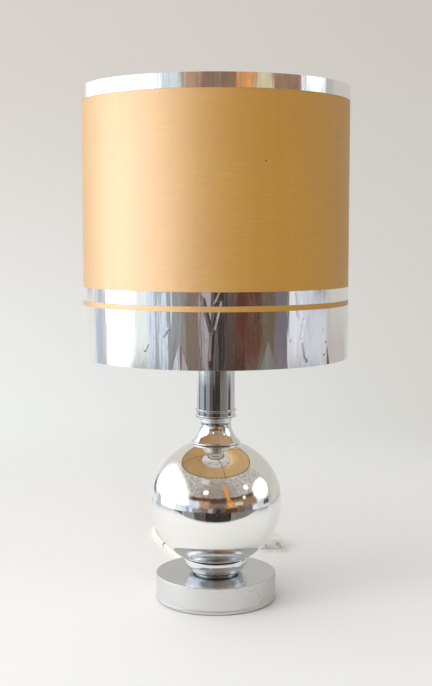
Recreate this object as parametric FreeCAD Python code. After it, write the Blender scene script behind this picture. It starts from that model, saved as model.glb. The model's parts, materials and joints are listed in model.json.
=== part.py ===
# Glass globe table lamp: a weighted drum base, a mirrored glass globe held between a cup and a
# flared neck, a slim stem with a screw lampholder, and a drum shade hung from a wire frame.
# Millimetres, +Z up. The origin is on the lamp's axis, on the table top. The viewer is at -Y.
# Every piece that turns about the axis is an outline of (radius, height[, corner radius]).

import FreeCAD, Part
import math
import os
from FreeCAD import Vector

# Clearances
seat_gap = 0.1          # faces that rest on each other on separate pieces
slide_gap = 0.2         # a piece that drops into or over another one
turn_gap = 0.05         # radial clearance of a pin in its hole
globe_clearance = 0.6   # between the globe and the metal rim that its rubber seat holds off

# Base drum
base_radius = 69.4
base_height = 31.2
base_sheet = 1.2
base_top_edge = 1.0     # rounding of the upper edge
foot_band = 5.0         # height of the pressed line above the table
foot_line = 0.7         # depth of that line
foot_roll = 3.2         # width of the rolled rim at the foot
foot_lift = 0.6         # the felt stands this far below the rolled rim
felt_thickness = 1.4
plate_thickness = 1.5
weight_radius = 60.0
weight_room = 16.0      # kept free under the weight for the rod's nut and the lead

# Threaded rod that clamps the stem
rod_radius = 5.0
rod_bore = 3.8
rod_below_nut = 1.4     # thread that stands out under the lower nut
rod_hole = 5.2          # hole for the rod in every piece it passes
washer_radius = 14.0
washer_thickness = 1.6
nut_across_flats = 14.0
nut_height = 4.0

# Foot disc and cup below the globe
disc_radius = 24.4
disc_height = 1.5
cup_foot_radius = 26.3
cup_rim_radius = 36.4
cup_height = 14.7
cup_wall = 1.6
cup_toe = 4.0           # width of the low step round its foot
cup_toe_rise = 0.7
cup_toe_curve = 6.0
cup_side = 9.5          # height where the wall turns upright
cup_curve = 9.0         # radius of that turn
cup_gap = 2.32          # between the cup's rim and the globe, straight up
lower_seat_inner = 17.0
lower_seat_width = 8.0

# Glass globe
globe_radius = 76.6     # across the axis
globe_half_height = 73.0
globe_belt = 70.0       # radius of the profile's arc at the widest part
glass_wall = 2.2
globe_hole = 14.0       # radius of the openings at both poles

# Flared neck on the globe
bell_rim_radius = 28.2
bell_rim_height = 2.8   # rolled bead
bell_neck_radius = 17.5
bell_height = 25.3
bell_bead_width = 2.3
bell_slope = 0.775      # how fast the flare narrows with height
bell_flare = 11.0       # radius of the hollow curve
bell_wall = 1.0
upper_seat_inner = 21.6

# Step ring, collar and tube
ring_radius = 18.4
ring_height = 5.5
collar_radius = 23.6
collar_height = 9.0
collar_bead = 2.2
collar_waist = 22.3
tube_radius = 22.0
tube_wall = 1.0
tube_length = 58.0
spigot_height = 2.6
collar_wall = 2.4
collar_floor = 3.0
cap_height = 1.6

# Screw lampholder
holder_nipple_radius = 9.0
holder_nipple_height = 5.4
holder_cap_radius = 18.4
holder_cap_height = 19.4
holder_wall = 1.6
holder_thread = 1.5     # rod above the nipple
holder_shoulder = 5.0   # rise of the cap's shoulder
skirt_radius = 19.6
skirt_height = 33.0
skirt_wall = 2.2
core_radius = 16.4
core_height = 10.0
core_recess = 7.0       # the core's foot below the skirt
shell_radius = 13.6     # inside of the screw shell
shell_wall = 0.6
shell_height = 16.0
shell_floor = 3.0       # width of the ring that rests on the core
tongue_lift = 4.2       # the centre contact springs up this far from the core
tongue_width = 6.0
tongue_sheet = 0.5
stud_place = 8.5        # of the centre contact's stud from the axis
terminal_place = 8.0    # of each terminal block from the axis
terminal_block = (5.0, 7.0, 3.0)
terminal_screw = (1.5, 1.4)     # radius and height of its head
shade_ring_radius = 28.0
shade_ring_height = 6.4
shade_ring_lift = 1.0   # above the skirt's lower edge
knurl_radius = 1.6      # notches round the shade rings
knurl_step = 30         # degrees

# Light bulb
bulb_cap_radius = 13.2
bulb_cap_height = 22.0
bulb_button = 2.2       # contact button and insulator below the cap
bulb_radius = 30.0
bulb_neck_radius = 12.4
bulb_length = 106.0
bulb_glass = 0.8
bulb_shoulder = (9.0, 26.0)     # corner below the widest place and its rounding
bulb_throat = (44.0, 50.0)      # the same where the neck begins
bulb_cap_wall = 0.6
bulb_eyelet = 9.3               # radius of the black insulator under the cap
stem_height = 34.0
filament_reach = 11.0           # half its width
filament_lift = 12.0            # above the stem
filament_radius = 0.7
support_radius = 0.35

# Shade
shade_radius = 150.0
shade_height = 299.2
fitter_drop = 29.08     # the shade's lower edge below its fitter
foil_thickness = 0.3
fabric_thickness = 0.4
liner_thickness = 0.7
glue = 0.05
top_band = 15.4
narrow_band = 14.5
stripe = 5.7
wide_band = 59.8
wire_radius = 1.6
frame_inset = 0.8       # wire rings stay this far inside the shade's edges
spoke_radius = 1.5
spoke_angles = (-70, 50, 170)
fitter_radius = 34.0
fitter_thickness = 1.2
fitter_gap = 0.6        # radial clearance of the fitter on the holder's skirt

# Mains lead
lead_radius = 2.7
core_wire_radius = 0.95
core_wire_offset = 1.2
lead_drop = 4.0         # middle of the lead below the weight
lead_angle = 104.0      # direction of that hole, from +X
lead_level = 15.0       # the lead stays level this far past its bush
bush_neck = 4.6
bush_flange = 6.2
bush_tail = 20.0
sheath_inside = 26.0    # the sheath is stripped this far from the axis
clamp_place = 44.0      # distance of the lead clamp from the axis
clamp_width = 8.0
clamp_span = 22.0       # across its two ears
clamp_sheet = 1.4
clamp_screw_place = 8.0 # from the lead's middle
clamp_screw_radius = 2.6
clamp_screw_head = 1.8

# Switch on the lead
switch_length = 58.0
switch_width = 24.0
switch_height = 16.0
switch_axis = 7.8       # height of the lead through it
switch_wall = 1.8
switch_heading = 8.0
rocker_length = 18.4
rocker_width = 9.0
rocker_tilt = 7.0       # each way from level
rocker_pivot = 11.6
rocker_pin = 1.0
rocker_pad = 1.7        # rise of the rocker's ends over its middle
switch_nose = 10.4      # width at its ends
switch_shoulder = 14.0  # length of each taper
terminal_offset = 14.5  # of the switch's two terminals from its middle
contact_block = (6.4, 7.0, 3.4)
contact_bottom = 4.4
contact_room = (8.0, 9.0, 6.4)
contact_room_bottom = 3.0
window_bottom = 5.0     # of the rocker's opening
window_gap = (0.6, 0.3) # round the rocker, along and across
pin_seat = 2.0          # the rocker's pin reaches this far into each side
screw_radius = 1.1
screw_head = 2.2

# Plug
plug_length = 35.0
plug_width = 35.0
plug_height = 14.0
plug_relief = 18.0      # moulded tail round the lead
plug_grip = 21.0        # width at its narrow end
plug_shoulder = 14.0    # length of the taper
plug_neck = (3.7, 5.6)  # radii of the tail's two ends
pin_radius = 2.0
pin_length = 19.0
pin_spacing = 18.6

# Coiled lead
coil_centre = (4.0, 258.0)
coil_outer = 43.8
coil_inner = 19.0
coil_height = 11.2

# Route of the lead outside the lamp, heights included
lead_route = [(-31.4, 118.2, 7.6), (-38.7, 135.8, 3.5),
              (-48.7, 157.6, 2.8), (-58.7, 183.7, 2.8), (-68.0, 212.2, 2.8), (-76.6, 243.0, 2.8),
              (-84.3, 274.0, 2.8), (-87.0, 302.0, 2.8), (-80.5, 322.5, 3.4), (-67.5, 334.5, 6.9)]
switch_start = (-50.0, 338.4)
run_route = [(21.3, 348.4, 7.4), (34.7, 344.3, 5.4), (45.1, 334.9, 3.4), (50.6, 322.0, 2.8),
             (50.6, 307.0, 2.8), (46.8, 287.4, 2.8), (42.6, 269.4, 2.8)]
tail_route = [(-2.0, 296.0, 8.4), (17.0, 297.6, 8.9), (36.0, 296.5, 9.4), (49.5, 292.9, 9.4),
              (59.4, 284.2, 8.2)]
plug_start = (66.4, 257.5)
plug_heading = -82.0    # the pins point towards the viewer, clear of the base
plug_lead_in = 13.5     # the lead runs straight into the plug over this length


def globe_crown(shrink=0.0):
    """Radius of the arc over the poles, tangent to the belt's, shrink inside the outer face."""
    belt_shift = globe_radius - globe_belt
    rise = globe_half_height - globe_belt
    return (belt_shift ** 2 + globe_half_height ** 2 - globe_belt ** 2) / (2 * rise) - shrink


def globe_height_at(radius, shrink=0.0):
    """How far above or below the centre the globe's face is at a radius near a pole."""
    return math.sqrt(globe_crown(shrink) ** 2 - radius ** 2) + globe_half_height - globe_crown()


# Heights of the stack, each piece standing on the one below
washer_bottom = weight_room - washer_thickness
nut_bottom = washer_bottom - nut_height
rod_bottom = nut_bottom - rod_below_nut
cup_bottom = base_height + disc_height
cup_floor = cup_bottom + cup_wall
cup_rim = cup_bottom + cup_height
globe_centre = cup_rim + cup_gap + globe_height_at(cup_rim_radius)
bell_bottom = globe_centre + globe_height_at(bell_rim_radius) + globe_clearance
bell_top = bell_bottom + bell_height
collar_bottom = bell_top + ring_height
tube_bottom = collar_bottom + collar_height
tube_top = tube_bottom + tube_length
cap_top = tube_top + cap_height
holder_bottom = cap_top + nut_height
rod_top = holder_bottom + holder_nipple_height + holder_thread
skirt_bottom = holder_bottom + holder_cap_height
core_bottom = skirt_bottom - core_recess
core_top = core_bottom + core_height
shade_ring_bottom = skirt_bottom + shade_ring_lift
fitter_bottom = shade_ring_bottom + shade_ring_height + seat_gap
tongue_top = core_top + tongue_lift
cap_bottom = tongue_top + seat_gap + bulb_button
shade_bottom = fitter_bottom - fitter_drop
shade_top = shade_bottom + shade_height
liner_outer = shade_radius - foil_thickness - fabric_thickness - 2 * glue
liner_inner = liner_outer - liner_thickness
frame_radius = liner_inner - seat_gap - wire_radius

lead_height = weight_room - lead_drop

axis_up = Vector(0, 0, 1)
rod_hole_top = bell_top - bell_wall


def bent(points, radii, closed=False):
    """Straight runs joined by tangent arcs; a radius of 0 leaves the corner sharp."""
    count = len(points)
    corners = []
    for i, corner in enumerate(points):
        if radii[i] == 0:
            corners.append((corner, None, corner))
            continue
        back = (points[i - 1] - corner).normalize()
        ahead = (points[(i + 1) % count] - corner).normalize()
        half = back.getAngle(ahead) / 2
        reach = radii[i] / math.tan(half)
        middle = Vector(back + ahead).normalize()
        crown = corner + middle * (radii[i] / math.sin(half) - radii[i])
        corners.append((corner + back * reach, crown, corner + ahead * reach))
    edges = []
    for i, (start, crown, end) in enumerate(corners):
        if crown is not None:
            edges.append(Part.Arc(start, crown, end).toShape())
        if i + 1 == count and not closed:
            break
        following = corners[(i + 1) % count][0]
        if end.distanceToPoint(following) > 1e-6:
            edges.append(Part.LineSegment(end, following).toShape())
    return Part.Wire(edges)


def flat(outline, plane):
    """A closed outline of (across, along[, corner radius]) as a face; plane places a point."""
    radii = [p[2] if len(p) > 2 else 0 for p in outline]
    return Part.Face(bent([plane(p[0], p[1]) for p in outline], radii, closed=True))


def turned(outline):
    """An outline of (radius, height[, corner radius]) turned about the lamp's axis."""
    return flat(outline, lambda r, z: Vector(r, 0, z)).revolve(Vector(), axis_up, 360)


def ring(inner, outer, bottom, top, edge=0):
    """A plain ring, or a disc where inner is 0, with rounded outer edges."""
    return turned([(inner, bottom), (outer, bottom, edge), (outer, top, edge), (inner, top)])


def shell_band(inner, thickness, bottom, top):
    """A thin cylinder wall."""
    return ring(inner, inner + thickness, bottom, top)


def tube_along(points, radii, radius):
    """A round bar that follows straight runs and tangent arcs."""
    path = bent(points, radii)
    circle = Part.Circle(points[0], points[1] - points[0], radius)
    return path.makePipeShell([Part.Wire(circle.toShape())], True, False), path


def hexagon(across_flats, bottom, height, hole):
    corner = across_flats / math.sqrt(3)
    angles = [math.radians(60 * i) for i in range(7)]
    corners = [Vector(corner * math.cos(a), corner * math.sin(a), bottom) for a in angles]
    nut = Part.Face(Part.makePolygon(corners)).extrude(Vector(0, 0, height))
    return nut.cut(Part.makeCylinder(hole, height, Vector(0, 0, bottom)))


def save(name, shape):
    shape.exportStep(f"parts/{name}.step")


def save_placed(name, shape, place):
    """Saves a shape that was made in a frame of its own."""
    placed = shape.copy()
    placed.Placement = place.multiply(placed.Placement)
    save(name, placed)


def globe_profile(shrink, hole):
    """The globe's oval in the XZ plane as three tangent arcs, from its lower to its upper hole."""
    belt_shift = globe_radius - globe_belt
    crown_drop = globe_crown() - globe_half_height
    join = math.atan2(belt_shift, crown_drop)
    crown = globe_crown(shrink)
    hole_angle = math.asin(hole / crown)

    def over_pole(angle, side):
        height = crown * math.cos(angle) - crown_drop
        return Vector(crown * math.sin(angle), 0, globe_centre + side * height)

    middle = Vector(globe_radius - shrink, 0, globe_centre)
    half_way = (hole_angle + join) / 2
    arcs = [Part.Arc(over_pole(hole_angle, -1), over_pole(half_way, -1), over_pole(join, -1)),
            Part.Arc(over_pole(join, -1), middle, over_pole(join, 1)),
            Part.Arc(over_pole(join, 1), over_pole(half_way, 1), over_pole(hole_angle, 1))]
    return [arc.toShape() for arc in arcs]


def make_globe():
    """Blown glass with a hole at each pole for the rod."""
    outer, inner = globe_profile(0.0, globe_hole), globe_profile(glass_wall, globe_hole)
    rims = [Part.LineSegment(outer[i].Vertexes[i].Point, inner[i].Vertexes[i].Point).toShape()
            for i in (0, -1)]
    wire = Part.Wire(Part.__sortEdges__(outer + inner + rims))
    save("globe", Part.Face(wire).revolve(Vector(), axis_up, 360))


def against_globe(blank):
    """Cuts a soft ring to the globe's face, seat_gap away from it."""
    profile = globe_profile(-seat_gap, 1.0)
    low, high = profile[0].Vertexes[0].Point, profile[-1].Vertexes[-1].Point
    axis_low, axis_high = Vector(0, 0, low.z), Vector(0, 0, high.z)
    closing = [Part.LineSegment(high, axis_high).toShape(),
               Part.LineSegment(axis_high, axis_low).toShape(),
               Part.LineSegment(axis_low, low).toShape()]
    return blank.cut(Part.Face(Part.Wire(profile + closing)).revolve(Vector(), axis_up, 360))


def outward(angle, distance, height):
    a = math.radians(angle)
    return Vector(distance * math.cos(a), distance * math.sin(a), height)


def make_base():
    """Spun drum with a rolled foot, its iron weight, closing plate and felt."""
    inside = base_radius - base_sheet
    roll = base_radius - foot_roll
    shell = turned([
        (roll, foot_lift), (base_radius, foot_lift, 1.8), (base_radius, foot_band - foot_line),
        (base_radius - foot_line, foot_band), (base_radius, foot_band + foot_line),
        (base_radius, base_height, base_top_edge), (rod_hole, base_height),
        (rod_hole, base_height - base_sheet), (inside, base_height - base_sheet, 0.4),
        (inside, foot_band + base_sheet), (roll, foot_band + base_sheet, 0.8)])
    hole = Part.makeCylinder(bush_neck + turn_gap, base_radius,
                             Vector(0, 0, lead_height), outward(lead_angle, 1, 0))
    save("base_shell", shell.cut(hole))
    save("base_weight", ring(rod_hole, weight_radius, weight_room,
                             base_height - base_sheet, 1.5))
    felt_top = felt_thickness
    plate_edge = roll - slide_gap
    save("base_plate", ring(0, plate_edge, felt_top, felt_top + plate_thickness))
    save("base_felt", ring(0, plate_edge - 0.6, 0, felt_top))
    save("rod_washer", ring(rod_hole, washer_radius, washer_bottom, weight_room))
    save("rod_nut", hexagon(nut_across_flats, nut_bottom, nut_height, rod_radius + turn_gap))


def make_rod():
    """The threaded tube that clamps base, globe, neck and stem together."""
    save("rod", ring(rod_bore, rod_radius, rod_bottom, rod_top))


def make_cup():
    """Foot disc, turned cup and the rubber seat that carries the globe."""
    save("foot_disc", ring(rod_hole, disc_radius, base_height, cup_bottom, 0.5))
    lip = cup_wall / 2 - 0.05
    inner_rim = cup_rim_radius - cup_wall
    save("globe_cup", turned([
        (rod_hole, cup_bottom), (cup_foot_radius, cup_bottom),
        (cup_foot_radius + cup_toe, cup_bottom + cup_toe_rise, cup_toe_curve),
        (cup_rim_radius, cup_bottom + cup_side, cup_curve),
        (cup_rim_radius, cup_rim, lip), (inner_rim, cup_rim, lip),
        (inner_rim, cup_floor + cup_side - 0.9, cup_curve - cup_wall),
        (cup_foot_radius + cup_toe - cup_wall + 0.2, cup_floor, cup_toe_curve - cup_wall),
        (rod_hole, cup_floor)]))
    seat_outer = lower_seat_inner + lower_seat_width
    seat_top = globe_centre - globe_height_at(seat_outer)
    save("lower_seat", against_globe(ring(lower_seat_inner, seat_outer, cup_floor, seat_top)))


def make_neck():
    """Flared neck with a rolled rim on the globe's top, and its rubber seat."""
    rim_top = bell_bottom + bell_rim_height
    bead = bell_rim_height / 2
    bead_inner = bell_rim_radius - bell_bead_width
    flare_foot = bell_rim_radius - bead - 0.3
    inner_neck = bell_neck_radius - bell_wall
    lean = math.hypot(1, bell_slope)

    def outside(radius):
        return rim_top + (flare_foot - radius) / bell_slope

    def inside(radius):
        return outside(radius) - bell_wall * lean / bell_slope

    save("neck_bell", turned([
        (bead_inner, bell_bottom + globe_clearance), (bell_rim_radius, bell_bottom, bead),
        (bell_rim_radius, rim_top, bead), (flare_foot, rim_top),
        (bell_neck_radius, outside(bell_neck_radius), bell_flare),
        (bell_neck_radius, bell_top, 0.6), (rod_hole, bell_top), (rod_hole, rod_hole_top),
        (inner_neck, rod_hole_top), (inner_neck, inside(inner_neck), bell_flare + bell_wall),
        (bead_inner, inside(bead_inner))]))
    seat_outer = bead_inner - slide_gap
    low = globe_centre + globe_height_at(seat_outer)
    drop = seat_gap * lean / bell_slope
    save("upper_seat", against_globe(turned([
        (upper_seat_inner, low), (seat_outer, low), (seat_outer, inside(seat_outer) - drop),
        (upper_seat_inner, inside(upper_seat_inner) - drop, 1)])))
    bead = ring_height / 4
    save("neck_ring", turned([
        (rod_hole, bell_top), (ring_radius, bell_top, bead * 0.9),
        (ring_radius, bell_top + 2 * bead - 0.2, bead * 0.9), (ring_radius - 0.9, bell_top + 2 * bead),
        (ring_radius, bell_top + 2 * bead + 0.2, bead * 0.9),
        (ring_radius, collar_bottom, bead * 0.9), (rod_hole, collar_bottom)]))


def make_tube():
    """Beaded collar, plain tube and the cap that closes it under the lampholder."""
    spigot = tube_radius - tube_wall - turn_gap
    half = collar_bead / 2
    save("tube_collar", turned([
        (rod_hole, collar_bottom), (collar_radius, collar_bottom, half),
        (collar_radius, collar_bottom + collar_bead, half), (collar_waist, collar_bottom + collar_bead),
        (collar_waist, tube_bottom - collar_bead), (collar_radius, tube_bottom - collar_bead, half),
        (collar_radius, tube_bottom, half), (spigot, tube_bottom),
        (spigot, tube_bottom + spigot_height, 0.5),
        (spigot - collar_wall, tube_bottom + spigot_height),
        (spigot - collar_wall, collar_bottom + collar_floor), (rod_hole, collar_bottom + collar_floor)]))
    save("neck_tube", shell_band(tube_radius - tube_wall, tube_wall, tube_bottom, tube_top))
    save("tube_cap", turned([
        (rod_hole, tube_top - spigot_height), (spigot, tube_top - spigot_height, 0.5),
        (spigot, tube_top), (tube_radius, tube_top), (tube_radius, cap_top, 0.8),
        (rod_hole, cap_top)]))
    save("tube_nut", hexagon(nut_across_flats, cap_top, nut_height, rod_radius + turn_gap))


def make_holder():
    """Screw lampholder: cap on the rod, ceramic core, contacts, threaded skirt, shade rings."""
    thread = rod_radius + turn_gap
    cap_inner = holder_cap_radius - holder_wall
    shoulder = holder_bottom + holder_nipple_height
    save("holder_cap", turned([
        (thread, holder_bottom), (holder_nipple_radius, holder_bottom, 0.8),
        (holder_nipple_radius, shoulder), (holder_cap_radius, shoulder + holder_shoulder, 3),
        (holder_cap_radius, skirt_bottom), (cap_inner, skirt_bottom),
        (cap_inner, shoulder + holder_shoulder + 1, 2), (holder_nipple_radius, rod_top),
        (thread, rod_top)]))
    core = ring(0, core_radius, core_bottom, core_top, 0.6)
    holes = [Part.makeCylinder(radius, core_height, Vector(0, place, core_bottom))
             for radius, place in ((1.7, stud_place), (1.6, -stud_place))]
    save("holder_core", core.cut(holes))
    long, wide, high = terminal_block
    screw_radius, head = terminal_screw
    block_bottom = core_bottom - high - seat_gap
    terminals = []
    for side in (-1, 1):
        middle = side * terminal_place
        terminals.append(Part.makeBox(long, wide, high, Vector(middle - long / 2, -wide / 2, block_bottom)))
        terminals.append(Part.makeCylinder(screw_radius, head,
                                           Vector(middle, 0, block_bottom - head - seat_gap)))
    save("holder_terminals", Part.makeCompound(terminals))
    rest = core_top + seat_gap
    save("holder_screw_shell", turned([
        (shell_radius - shell_floor, rest), (shell_radius + shell_wall, rest, 0.5),
        (shell_radius + shell_wall, rest + shell_height),
        (shell_radius, rest + shell_height), (shell_radius, rest + shell_wall),
        (shell_radius - shell_floor, rest + shell_wall)]))
    tongue = flat([(-8, rest), (-8, rest + tongue_sheet + 0.3), (-3.5, rest + tongue_sheet + 0.4, 3),
                   (2.5, tongue_top, 2), (6, tongue_top), (6, tongue_top - tongue_sheet),
                   (2.8, tongue_top - tongue_sheet - 0.1, 2), (-3.2, rest, 3)],
                  lambda x, z: Vector(x, -tongue_width / 2, z))
    save("holder_tongue", tongue.extrude(Vector(0, tongue_width, 0)))
    skirt_inner = skirt_radius - skirt_wall
    lip = core_top + 1.5
    mouth = shell_radius + 1.2
    skirt_top = skirt_bottom + skirt_height
    save("holder_skirt", turned([
        (core_radius + slide_gap, skirt_bottom), (skirt_radius, skirt_bottom, 0.5),
        (skirt_radius, skirt_top, 1.2), (mouth, skirt_top, 0.8), (mouth, skirt_top - 4),
        (skirt_inner, skirt_top - 5), (skirt_inner, lip), (core_radius + slide_gap, lip)]))
    bore = skirt_radius + turn_gap
    upper = fitter_bottom + fitter_thickness + seat_gap
    for name, bottom in (("shade_ring_lower", shade_ring_bottom), ("shade_ring_upper", upper)):
        knurl = ring(bore, shade_ring_radius, bottom, bottom + shade_ring_height, 0.8)
        middle = shade_ring_radius + knurl_radius / 2 + 0.1
        notches = [Part.makeCylinder(knurl_radius, shade_ring_height, outward(a, middle, bottom))
                   for a in range(0, 360, knurl_step)]
        save(name, knurl.cut(notches))


def make_bulb():
    """Pear-shaped bulb: glass, screw cap, insulator, contact, stem and filament."""
    glass_bottom = cap_bottom + bulb_cap_height - 3
    top = tongue_top + seat_gap + bulb_length
    widest = top - bulb_radius
    shoulder, shoulder_round = bulb_shoulder
    throat, throat_round = bulb_throat
    wall = bulb_glass
    outer = [(0, top), (bulb_radius, top, bulb_radius),
             (bulb_radius, widest - shoulder, shoulder_round),
             (bulb_neck_radius, widest - throat, throat_round), (bulb_neck_radius, glass_bottom)]
    inner = [(bulb_neck_radius - wall, glass_bottom),
             (bulb_neck_radius - wall, widest - throat, throat_round + wall),
             (bulb_radius - wall, widest - shoulder, shoulder_round - wall),
             (bulb_radius - wall, top - wall, bulb_radius - wall), (0, top - wall)]
    save("bulb_glass", turned(outer + inner))
    cap_top_edge = cap_bottom + bulb_cap_height
    cap_inner = bulb_cap_radius - bulb_cap_wall
    save("bulb_cap", turned([
        (bulb_eyelet + 0.2, cap_bottom), (bulb_cap_radius - 1, cap_bottom, 0.6),
        (bulb_cap_radius, cap_bottom + 2), (bulb_cap_radius, cap_top_edge), (cap_inner, cap_top_edge),
        (cap_inner, cap_bottom + 2), (bulb_eyelet + 0.2, cap_bottom + bulb_cap_wall)]))
    button = tongue_top + seat_gap
    save("bulb_insulator", turned([
        (0, button + 0.9), (5.2, button + 0.9, 0.3), (bulb_eyelet, cap_bottom, 0.2),
        (bulb_eyelet, cap_bottom + 1.6), (0, cap_bottom + 1.6)]))
    save("bulb_contact", ring(0, 4.6, button, button + 0.8, 0.3))
    stem_bottom = glass_bottom + 0.4
    stem_top = stem_bottom + stem_height
    flare = bulb_neck_radius - bulb_glass - 1.6
    save("bulb_stem", turned([(0, cap_bottom + 2), (flare, cap_bottom + 2), (flare, stem_bottom),
                              (3.2, stem_bottom + 9, 4), (2.6, stem_top, 1), (0, stem_top)]))
    high = stem_top + filament_lift
    wires = []
    for side in (-1, 1):
        points = [Vector(side * 1.2, 0, stem_top + 2 * seat_gap), Vector(side * 3, 0, stem_top + 4),
                  Vector(side * filament_reach, 0, high)]
        wires.append(tube_along(points, [0, 3, 0], support_radius)[0])
    half = filament_reach - support_radius
    coil = Part.makeCylinder(filament_radius, 2 * half, Vector(-half, 0, high), Vector(1, 0, 0))
    save("bulb_filament", coil.fuse(wires))


def make_shade_frame():
    """Wire rings, three spokes and the fitter that the shade rings clamp."""
    bottom_ring = shade_bottom + wire_radius + frame_inset
    top_ring = shade_top - wire_radius - frame_inset
    save("bottom_ring", Part.makeTorus(frame_radius, wire_radius, Vector(0, 0, bottom_ring)))
    save("top_ring", Part.makeTorus(frame_radius, wire_radius, Vector(0, 0, top_ring)))
    save("fitter", ring(skirt_radius + fitter_gap, fitter_radius, fitter_bottom,
                        fitter_bottom + fitter_thickness, 0.4))
    level = fitter_bottom - spoke_radius - seat_gap / 2
    spokes = []
    for angle in spoke_angles:
        start = outward(angle, shade_ring_radius + 1.2, level)
        bend = outward(angle, fitter_radius + 6, level)
        end = outward(angle, frame_radius - wire_radius - seat_gap, bottom_ring)
        spokes.append(tube_along([start, bend, end], [0, 12, 0], spoke_radius)[0])
    save("spokes", Part.makeCompound(spokes))


def make_shade_skin():
    """Liner, fabric and the three bands of mirror foil."""
    save("shade_liner", shell_band(liner_inner, liner_thickness, shade_bottom, shade_top))
    fabric_inner = liner_outer + glue
    save("shade_fabric", shell_band(fabric_inner, fabric_thickness, shade_bottom, shade_top))
    foil_inner = shade_radius - foil_thickness
    wide_top = shade_bottom + wide_band
    narrow_bottom = wide_top + stripe
    save("band_wide", shell_band(foil_inner, foil_thickness, shade_bottom, wide_top))
    save("band_narrow", shell_band(foil_inner, foil_thickness, narrow_bottom,
                                   narrow_bottom + narrow_band))
    save("band_top", shell_band(foil_inner, foil_thickness, shade_top - top_band, shade_top))


def along_lead(outline):
    """A piece turned about the line of the lead's hole in the base."""
    start = Vector(0, 0, lead_height)
    piece = flat(outline, lambda r, d: Vector(d, 0, r)).revolve(Vector(), Vector(1, 0, 0), 360)
    piece.Placement = FreeCAD.Placement(start, FreeCAD.Rotation(axis_up, lead_angle))
    return piece


def make_lead_entry():
    """Bush in the base's back, the sheath through it, its clamp and the two cores."""
    bore = lead_radius + turn_gap
    inside = base_radius - base_sheet
    tail_end = base_radius + bush_tail
    save("lead_bush", along_lead([
        (bore, inside - 3), (bush_neck + 0.8, inside - 3, 0.4), (bush_neck + 0.8, inside - 1.2),
        (bush_neck, inside - 1), (bush_neck, base_radius + seat_gap), (bush_flange, base_radius + seat_gap),
        (bush_flange, base_radius + 2.4, 0.8), (bush_neck + 0.3, base_radius + 3.2, 1),
        (lead_radius + 1, tail_end, 0.6), (bore, tail_end)]))
    save("lead_sheath", along_lead([(0, sheath_inside), (lead_radius, sheath_inside),
                                    (lead_radius, tail_end), (0, tail_end)]))
    edge = clamp_place - clamp_width / 2
    along = Vector(1, 0, 0)
    lead_middle = Vector(edge, 0, lead_height)
    grip = Part.makeCylinder(lead_radius + clamp_sheet, clamp_width, lead_middle, along)
    channel = Part.makeCylinder(bore, clamp_width, lead_middle, along)
    ears = Part.makeBox(clamp_width, clamp_span, clamp_sheet,
                        Vector(edge, -clamp_span / 2, weight_room - clamp_sheet))
    in_weight = Part.makeBox(clamp_width, clamp_span, clamp_span,
                             Vector(edge, -clamp_span / 2, weight_room))
    turn = FreeCAD.Placement(Vector(), FreeCAD.Rotation(axis_up, lead_angle))
    save_placed("lead_clamp", grip.fuse(ears).cut([channel, in_weight]), turn)
    head_bottom = weight_room - clamp_sheet - clamp_screw_head - seat_gap
    heads = [Part.makeCylinder(clamp_screw_radius, clamp_screw_head,
                               Vector(clamp_place, side * clamp_screw_place, head_bottom))
             for side in (-1, 1)]
    save_placed("clamp_screws", Part.makeCompound(heads), turn)
    cores = []
    low = nut_bottom - 4.0
    for side in (-1, 1):
        shift = outward(lead_angle - 90, side * core_wire_offset, 0)
        points = [outward(lead_angle, sheath_inside - seat_gap, lead_height),
                  outward(lead_angle, washer_radius + 6, lead_height - 0.6),
                  outward(lead_angle, washer_radius - 3, low), outward(lead_angle, 0, low),
                  Vector(0, 0, core_bottom - 9)]
        bar = tube_along([p + shift for p in points], [0, 8, 8, 5.2, 0], core_wire_radius)[0]
        cores.append(bar)
    save("lead_cores", Part.makeCompound(cores))


def route_radii(points):
    """Each arc is as large as its two runs allow."""
    radii = [0]
    for before, corner, after in zip(points, points[1:], points[2:]):
        back, ahead = before - corner, after - corner
        half_turn = (math.pi - back.getAngle(ahead)) / 2
        radii.append(0.45 * min(back.Length, ahead.Length) / math.tan(half_turn))
    return radii + [0]


def lead_piece(name, points):
    """One stretch of the lead; prints its bends and how its volume fits its length."""
    radii = route_radii(points)
    tube, path = tube_along(points, radii, lead_radius)
    full = math.pi * lead_radius ** 2 * path.Length
    bends = " ".join(f"{r:.0f}" for r in radii[1:-1])
    print(f"{name}: length {path.Length:.1f}, volume share {tube.Volume / full:.4f}, bends {bends}")
    return tube


def switch_frame():
    """Where the switch's own frame lies: its middle, on the table, turned to its heading."""
    middle = Vector(*switch_start, 0) + outward(switch_heading, switch_length / 2, 0)
    return FreeCAD.Placement(middle, FreeCAD.Rotation(axis_up, switch_heading))


def make_lead():
    """The lead from the base to the switch, on to the coil, and from there to the plug."""
    coil = Part.makeCylinder(coil_outer, coil_height).cut(Part.makeCylinder(coil_inner, coil_height))
    rims = [e for e in coil.Edges if e.Curve.TypeId == "Part::GeomCircle"]
    coil = coil.makeFillet(lead_radius * 0.9, rims)
    coil.translate(Vector(*coil_centre, 0))
    save("lead_coil", coil)
    out = outward(lead_angle, base_radius + bush_tail, lead_height)
    far = Vector(*switch_start, switch_axis)
    level = outward(lead_angle, base_radius + bush_tail + lead_level, lead_height)
    points = [out, level] + [Vector(*p) for p in lead_route] + [far]
    save("lead_first", lead_piece("lead_first", points))
    near = far + outward(switch_heading, switch_length, 0)
    run = lead_piece("lead_second", [near] + [Vector(*p) for p in run_route])
    save("lead_second", run.cut(coil))
    end = Vector(*plug_start, plug_height / 2)
    before = end - outward(plug_heading, plug_lead_in, 0)
    tail = lead_piece("lead_last", [Vector(*p) for p in tail_route] + [before, end])
    save("lead_last", tail.cut(coil))


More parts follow.
